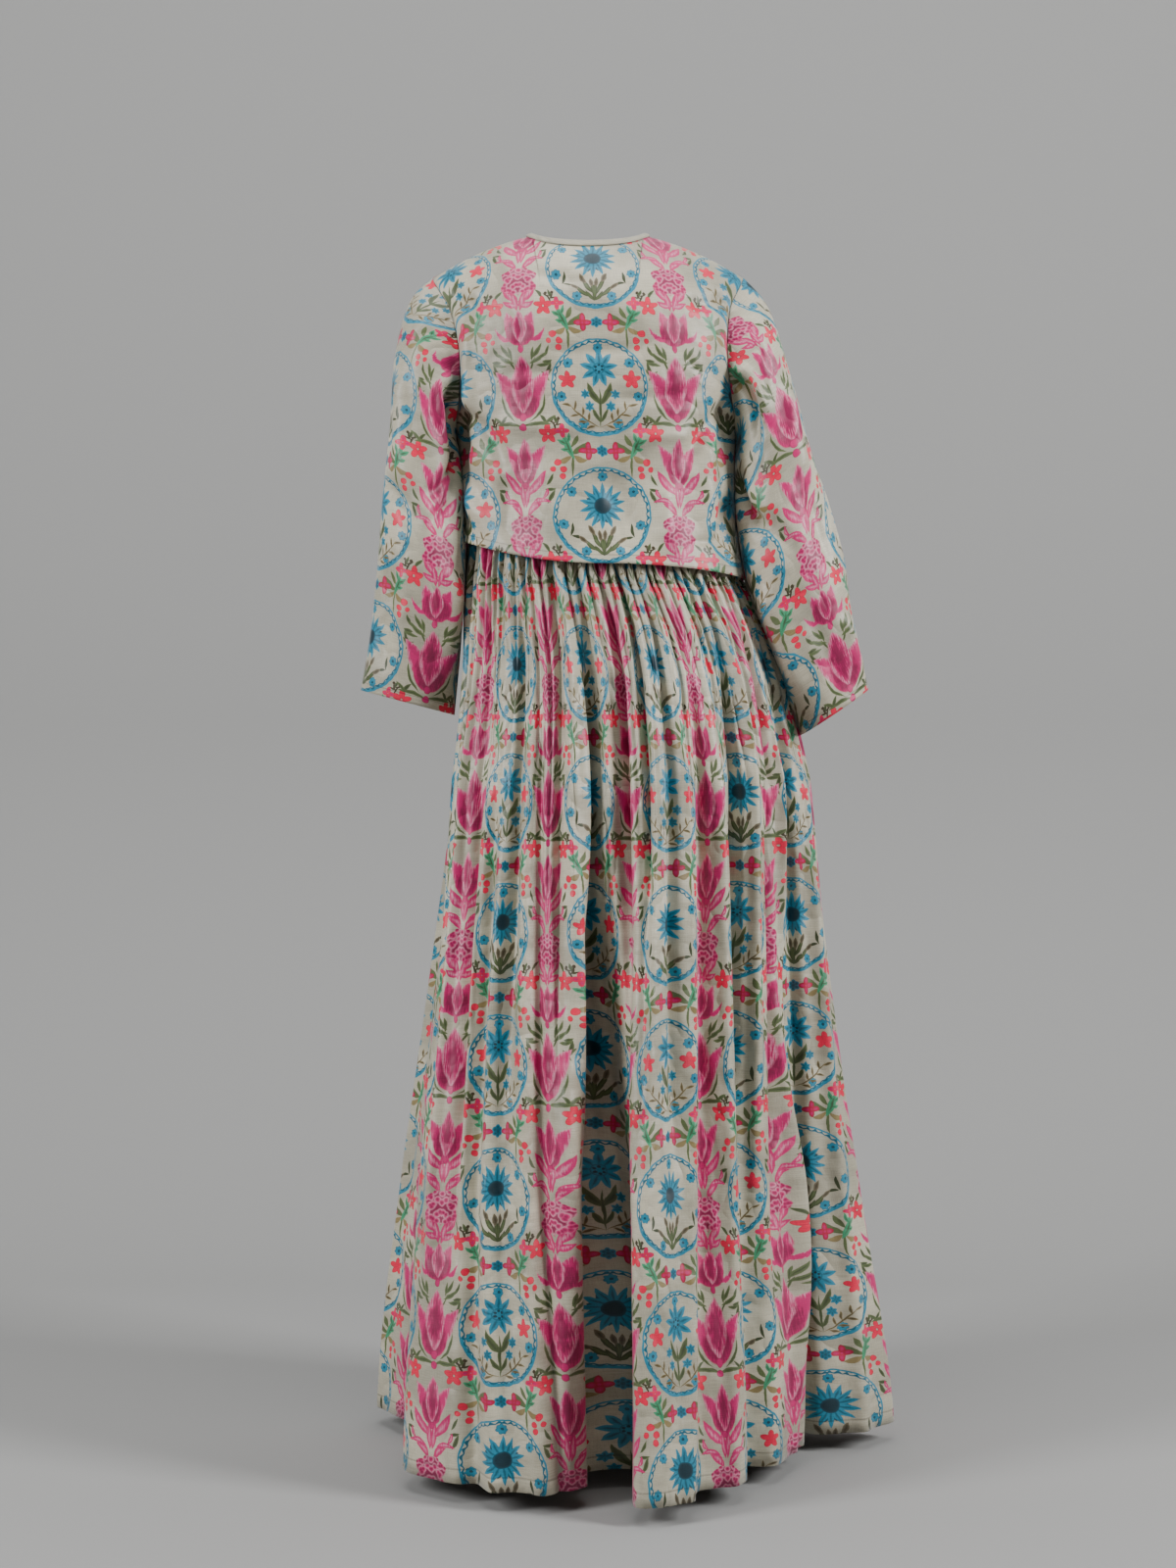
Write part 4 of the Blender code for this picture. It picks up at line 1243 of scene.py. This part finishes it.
def print_body(tree, cut):
    """The whole print over its ground, from a place on the cut in metres."""
    wobble = add(tree, "TexNoise", cut, WOBBLES, 2.0, noise_dimensions="2D").outputs["Color"]
    shift = add(tree, "VectorMath", wobble, (0.5, 0.5, 0.5), operation="SUBTRACT")
    drawn = add(tree, "VectorMath", shift, (WOBBLE,) * 3, cut, operation="MULTIPLY_ADD")
    u = add(tree, "VectorMath", drawn, (1000, 0, 0), operation="DOT_PRODUCT")
    v = add(tree, "VectorMath", drawn, (0, 1000, 0), operation="DOT_PRODUCT")
    from_tulips = add(tree, "Math", u, TULIP_PITCH / 2, operation="PINGPONG")
    from_medallions = add(tree, "Math", TULIP_PITCH / 2, from_tulips, operation="SUBTRACT")
    column = add(tree, "Math", u, TULIP_PITCH, operation="DIVIDE")
    column = add(tree, "Math", column, operation="FLOOR")
    odd = add(tree, "Math", column, 2.0, operation="FLOORED_MODULO")
    climb = add(tree, "Math", odd, MEDALLION_PITCH, v, operation="MULTIPLY_ADD")
    half = MEDALLION_PITCH / 2
    in_pair = add(tree, "Math", climb, COLUMN_REPEAT - half, -half, operation="WRAP")
    is_daisy = add(tree, "Math", in_pair, half, operation="GREATER_THAN")
    top = COLUMN_START + COLUMN_REPEAT
    tulip_height = add(tree, "Math", v, top, COLUMN_START, operation="WRAP")
    medallion_height = add(tree, "Math", v, half, -half, operation="WRAP")
    raised = add(tree, "Math", v, half, operation="SUBTRACT")
    meeting_height = add(tree, "Math", raised, half, -half, operation="WRAP")
    tulip_place = add(tree, "CombineXYZ", from_tulips, tulip_height, 1.0)
    medallion_place = add(tree, "CombineXYZ", from_medallions, medallion_height, 1.0)
    meeting_place = add(tree, "CombineXYZ", from_medallions, meeting_height, 1.0)
    threads = add(tree, "Mapping", cut, None, None, BRUSH_MARKS)
    brush = add(tree, "TexNoise", threads, 1.0, 1.0, noise_dimensions="2D")
    brush = add(tree, "Math", brush, 0.5, operation="SUBTRACT")
    clouds = add(tree, "TexNoise", cut, CLOUDS, 2.0, noise_dimensions="2D")
    clouds = add(tree, "MapRange", clouds, 0.35, 0.65)
    colour = add(tree, "Mix", clouds, DYES[GREIGE], DYES[GREIGE_DARK], data_type="RGBA")
    colour = add(tree, "Group", colour, meeting_place, node_tree=GROUPS["meetings"])
    colour = add(tree, "Group", colour, medallion_place, node_tree=GROUPS["ring"])
    star = add(tree, "Group", colour, medallion_place, node_tree=GROUPS["star"])
    daisy = add(tree, "Group", colour, medallion_place, node_tree=GROUPS["daisy"])
    colour = add(tree, "Mix", is_daisy, star, daisy, data_type="RGBA")
    return add(tree, "Group", colour, tulip_place, brush, node_tree=GROUPS["tulips"])


def build_groups():
    """Makes every node group of the print, the small ones first."""
    GROUPS.update(mark_groups())
    zone = {"Under": "Color", "Place": "Vector"}
    brushed = {**zone, "Brush": "Float"}
    GROUPS["tulips"] = node_group("Tulip columns", brushed, "Color", tulip_columns)
    GROUPS["ring"] = node_group("Rings and corners", zone, "Color", ring_and_corners)
    GROUPS["star"] = node_group("Star medallion", zone, "Color", star_medallion)
    GROUPS["daisy"] = node_group("Daisy medallion", zone, "Color", daisy_medallion)
    GROUPS["meetings"] = node_group("Meetings", zone, "Color", meetings)
    GROUPS["print"] = node_group("Print", {"Cut": "Vector"}, "Color", print_body)


def woven_grain(tree, cut):
    """Uneven threads of raw silk, from 0 to 1: weft slubs, fainter warp and a speckle."""
    grain = 0.0
    for run, share in (((55, 1300, 1), 0.45), ((1100, 70, 1), 0.25), ((900, 900, 1), 0.30)):
        threads = add(tree, "VectorMath", cut, run, operation="MULTIPLY")
        uneven = add(tree, "TexNoise", threads, 1.0, 1.0, noise_dimensions="2D")
        grain = add(tree, "Math", uneven, share, grain, operation="MULTIPLY_ADD")
    return grain


def raw_silk(name, printed=True, faded=0.0):
    """Raw silk, slub-woven, then printed: matt dyes on a ground with a soft gleam.

    The slubs break the colour and the gleam into short level dashes, and the stitches
    of each hem draw it in along one line.
    """
    material = bpy.data.materials.new(name)
    material.use_nodes = True
    tree = material.node_tree
    shader = tree.nodes["Principled BSDF"]
    cut = add(tree, "UVMap", uv_map=CUT_MAP)
    colour = add(tree, "RGB")
    colour.outputs[0].default_value = DYES[GREIGE_DARK]
    if printed:
        colour = add(tree, "Group", cut, node_tree=GROUPS["print"])
    if faded:
        colour = add(tree, "Mix", faded, colour, DYES[GREIGE], data_type="RGBA")
    grain = woven_grain(tree, cut)
    sewing = add(tree, "UVMap", uv_map=SEWING_MAP)
    from_hem = add(tree, "VectorMath", sewing, (1, 0, 0), operation="DOT_PRODUCT")
    stitches = add(tree, "Math", from_hem, 1.0, STITCH_WIDTH, operation="COMPARE")
    lit = add(tree, "MapRange", grain, 0.32, 0.68, 0.80, 1.12)
    lit = add(tree, "Math", stitches, -0.30, lit, operation="MULTIPLY_ADD")
    colour = add(tree, "VectorMath", colour, lit, operation="SCALE")
    tree.links.new(first_output(colour), shader.inputs["Base Color"])
    gleam = add(tree, "MapRange", grain, 0.32, 0.68, 0.56, 0.40)
    tree.links.new(first_output(gleam), shader.inputs["Roughness"])
    height = add(tree, "Math", stitches, -1.2, grain, operation="MULTIPLY_ADD")
    bump = add(tree, "Bump", 0.35, SLUB_HEIGHT)
    tree.links.new(first_output(height), bump.inputs["Height"])
    crumple = add(tree, "TexNoise", cut, CRUMPLES, 2.0, 0.5, noise_dimensions="2D")
    crumple = add(tree, "Math", crumple, 0.5, operation="SUBTRACT")
    crumple = add(tree, "Math", crumple, operation="ABSOLUTE")
    creased = add(tree, "Bump", 1.0, CRUMPLE_HEIGHT)
    tree.links.new(first_output(crumple), creased.inputs["Height"])
    tree.links.new(first_output(creased), bump.inputs["Normal"])
    tree.links.new(first_output(bump), shader.inputs["Normal"])
    shader.inputs["Sheen Weight"].default_value = 0.22
    shader.inputs["Sheen Roughness"].default_value = 0.35
    return material


# ---- Studio

FLOOR = -1.470
SWEEP_START = -0.95  # how far behind the gown the floor begins to turn up
SWEEP_RADIUS = 0.9
SWEEP_STEPS = 24
BACKDROP_REACH = 7.0
WALL_TOP = 4.0
STUDIO_MIDDLE = (0.0, 0.0, -0.75)
CAMERA_PLACE = (0.0, 3.1, -0.5965)
CAMERA_TILT = 1.18  # degrees below level
CAMERA_LENS = 58.8
Lamp = namedtuple("Lamp", "name place width height watts")
LAMPS = (
    Lamp("right softbox", (-2.9, 1.35, 1.0), 0.8, 1.7, 165),
    Lamp("left softbox", (2.8, 1.75, 0.8), 0.9, 1.8, 135),
    Lamp("top softbox", (0.2, 1.0, 2.4), 1.8, 1.2, 42),
    Lamp("backdrop light", (0.0, -0.6, 3.0), 4.0, 0.8, 48),
)


def backdrop_sheet(colour):
    """One roll of paper, the floor turned up into the wall, and the three other walls."""
    profile = [(BACKDROP_REACH, FLOOR)]
    for step in range(SWEEP_STEPS + 1):
        turn = math.pi / 2 * step / SWEEP_STEPS
        y = SWEEP_START - SWEEP_RADIUS * math.sin(turn)
        profile.append((y, FLOOR + SWEEP_RADIUS * (1 - math.cos(turn))))
    profile.append((SWEEP_START - SWEEP_RADIUS, WALL_TOP))
    corners = [(x, y, z) for y, z in profile for x in (-BACKDROP_REACH, BACKDROP_REACH)]
    faces = [(2 * i, 2 * i + 2, 2 * i + 3, 2 * i + 1) for i in range(len(profile) - 1)]
    near, far = SWEEP_START - SWEEP_RADIUS, BACKDROP_REACH
    for x, y in ((-far, near), (-far, far), (far, far), (far, near)):
        corners += [(x, y, FLOOR), (x, y, WALL_TOP)]
    first = 2 * len(profile)
    faces += [(i, i + 2, i + 3, i + 1) for i in range(first, first + 6, 2)]
    mesh = bpy.data.meshes.new("backdrop")
    mesh.from_pydata(corners, [], faces)
    mesh.shade_smooth()
    # Matt paper scatters the lamps evenly, so the walls show no glare and soft shadows.
    paper = bpy.data.materials.new("matt backdrop paper")
    paper.use_nodes = True
    shader = paper.node_tree.nodes["Principled BSDF"]
    shader.inputs["Base Color"].default_value = (*colour, 1.0)
    shader.inputs["Roughness"].default_value = 0.85
    mesh.materials.append(paper)
    backdrop = bpy.data.objects.new("backdrop", mesh)
    bpy.context.scene.collection.objects.link(backdrop)
    return backdrop


# ---- The add-on


def dye(name, description, sheet_hex):
    return bpy.props.FloatVectorProperty(
        name=name, description=description, default=linear(sheet_hex)[:3],
        subtype="COLOR", size=3, min=0.0, max=1.0,
    )


class GownSizes(bpy.types.PropertyGroup):
    cloth: bpy.props.FloatProperty(
        name="Cloth", description="Thickness of the silk", default=0.0008, unit="LENGTH"
    )
    binding: bpy.props.FloatProperty(
        name="Neck binding", description="Width of the strip round the neck",
        default=0.008, unit="LENGTH",
    )
    ground: dye("Ground", "Colour of the undyed silk", "#BCB6A1")
    pink: dye("Pink", "Dye of the tulips and peonies", "#BE1C64")
    coral: dye("Coral", "Dye of the small flowers and buds", "#DA1C42")
    blue: dye("Blue", "Dye of the medallions", "#1F7C97")
    olive: dye("Olive", "Dye of the stems and narrow leaves", "#56633C")
    green: dye("Green", "Dye of the lobed leaves", "#3A8F66")
    brown: dye("Brown", "Dye of the sprigs and dry leaves", "#84744C")
    backdrop: dye("Backdrop", "Colour of the paper behind the gown", "#929291")


class GOWN_OT_bodice(bpy.types.Operator):
    """Lay out the back and the front of the bodice"""

    bl_idname = "gown.bodice"
    bl_label = "Bodice"

    def execute(self, context):
        sizes = context.scene.gown_sizes
        silk = printed_pair()
        for node, face, creases in (
            ("bodice_back", BACK, BACK_CREASES),
            ("bodice_front", FRONT, FRONT_CREASES),
        ):
            piece = bodice_sheet(node + "_cloth", face, creases, sizes.cloth, silk)
            stand_for(piece, node)
        return {"FINISHED"}


class GOWN_OT_sleeves(bpy.types.Operator):
    """Lay out the two bracelet sleeves"""

    bl_idname = "gown.sleeves"
    bl_label = "Sleeves"

    def execute(self, context):
        sizes = context.scene.gown_sizes
        silk = printed_pair()
        for node, side, creases in (
            ("sleeve_left", LEFT, LEFT_SLEEVE_CREASES),
            ("sleeve_right", RIGHT, RIGHT_SLEEVE_CREASES),
        ):
            piece = sleeve_sheet(node + "_cloth", side, creases, sizes.cloth, silk)
            stand_for(piece, node)
        return {"FINISHED"}


class GOWN_OT_skirt(bpy.types.Operator):
    """Gather the back and the front panel of the skirt"""

    bl_idname = "gown.skirt"
    bl_label = "Skirt"

    def execute(self, context):
        sizes = context.scene.gown_sizes
        silk = printed_pair()
        for node, face, seed, folds in (
            ("skirt_back", BACK, 5, BACK_LONG_FOLDS),
            ("skirt_front", FRONT, 8, FRONT_LONG_FOLDS),
        ):
            piece = skirt_sheet(node + "_cloth", face, seed, folds, sizes.cloth, silk)
            stand_for(piece, node)
        return {"FINISHED"}


class GOWN_OT_binding(bpy.types.Operator):
    """Bind the neck"""

    bl_idname = "gown.binding"
    bl_label = "Neck binding"

    def execute(self, context):
        sizes = context.scene.gown_sizes
        silk = [raw_silk("undyed raw silk", printed=False)]
        piece = binding_sheet("neck_binding_cloth", sizes.binding, sizes.cloth, silk)
        stand_for(piece, "neck_binding")
        return {"FINISHED"}


class GOWN_OT_studio(bpy.types.Operator):
    """Set the floor, the lights and the camera"""

    bl_idname = "gown.studio"
    bl_label = "Studio"

    def execute(self, context):
        sizes = context.scene.gown_sizes
        camera = bpy.data.cameras.new("camera")
        camera.lens = CAMERA_LENS
        holder = bpy.data.objects.new("camera", camera)
        context.scene.collection.objects.link(holder)
        holder.location = CAMERA_PLACE
        holder.rotation_euler = (math.radians(90 - CAMERA_TILT), 0, math.radians(180))
        context.scene.camera = holder
        backdrop = backdrop_sheet(sizes.backdrop)
        for lamp in LAMPS:
            light = bpy.data.lights.new(lamp.name, "AREA")
            light.shape = "RECTANGLE"
            light.size, light.size_y = lamp.width, lamp.height
            light.energy = lamp.watts
            fixture = bpy.data.objects.new(lamp.name, light)
            fixture.location = lamp.place
            towards = Vector(STUDIO_MIDDLE) - Vector(lamp.place)
            fixture.rotation_euler = towards.to_track_quat("-Z", "Y").to_euler()
            context.scene.collection.objects.link(fixture)
        return {"FINISHED"}


STEPS = (GOWN_OT_bodice, GOWN_OT_sleeves, GOWN_OT_skirt, GOWN_OT_binding, GOWN_OT_studio)


class GOWN_PT_panel(bpy.types.Panel):
    """Sizes of the gown and the steps that make it"""

    bl_idname = "GOWN_PT_panel"
    bl_label = "Anarkali Gown"
    bl_space_type = "VIEW_3D"
    bl_region_type = "UI"
    bl_category = "Gown"

    def draw(self, context):
        sizes = context.scene.gown_sizes
        for name in sizes.bl_rna.properties.keys():
            if name not in ("name", "rna_type"):
                self.layout.prop(sizes, name)
        for step in STEPS:
            self.layout.operator(step.bl_idname)


CLASSES = (GownSizes, *STEPS, GOWN_PT_panel)


def register():
    for item in CLASSES:
        bpy.utils.register_class(item)
    bpy.types.Scene.gown_sizes = bpy.props.PointerProperty(type=GownSizes)


def unregister():
    del bpy.types.Scene.gown_sizes
    for item in reversed(CLASSES):
        bpy.utils.unregister_class(item)


def main():
    register()
    mix_dyes(bpy.context.scene.gown_sizes)
    build_groups()
    bpy.ops.object.select_all(action="DESELECT")
    bpy.ops.gown.bodice()
    bpy.ops.gown.sleeves()
    bpy.ops.gown.skirt()
    bpy.ops.gown.binding()
    bpy.ops.gown.studio()


if __name__ == "__main__":
    main()
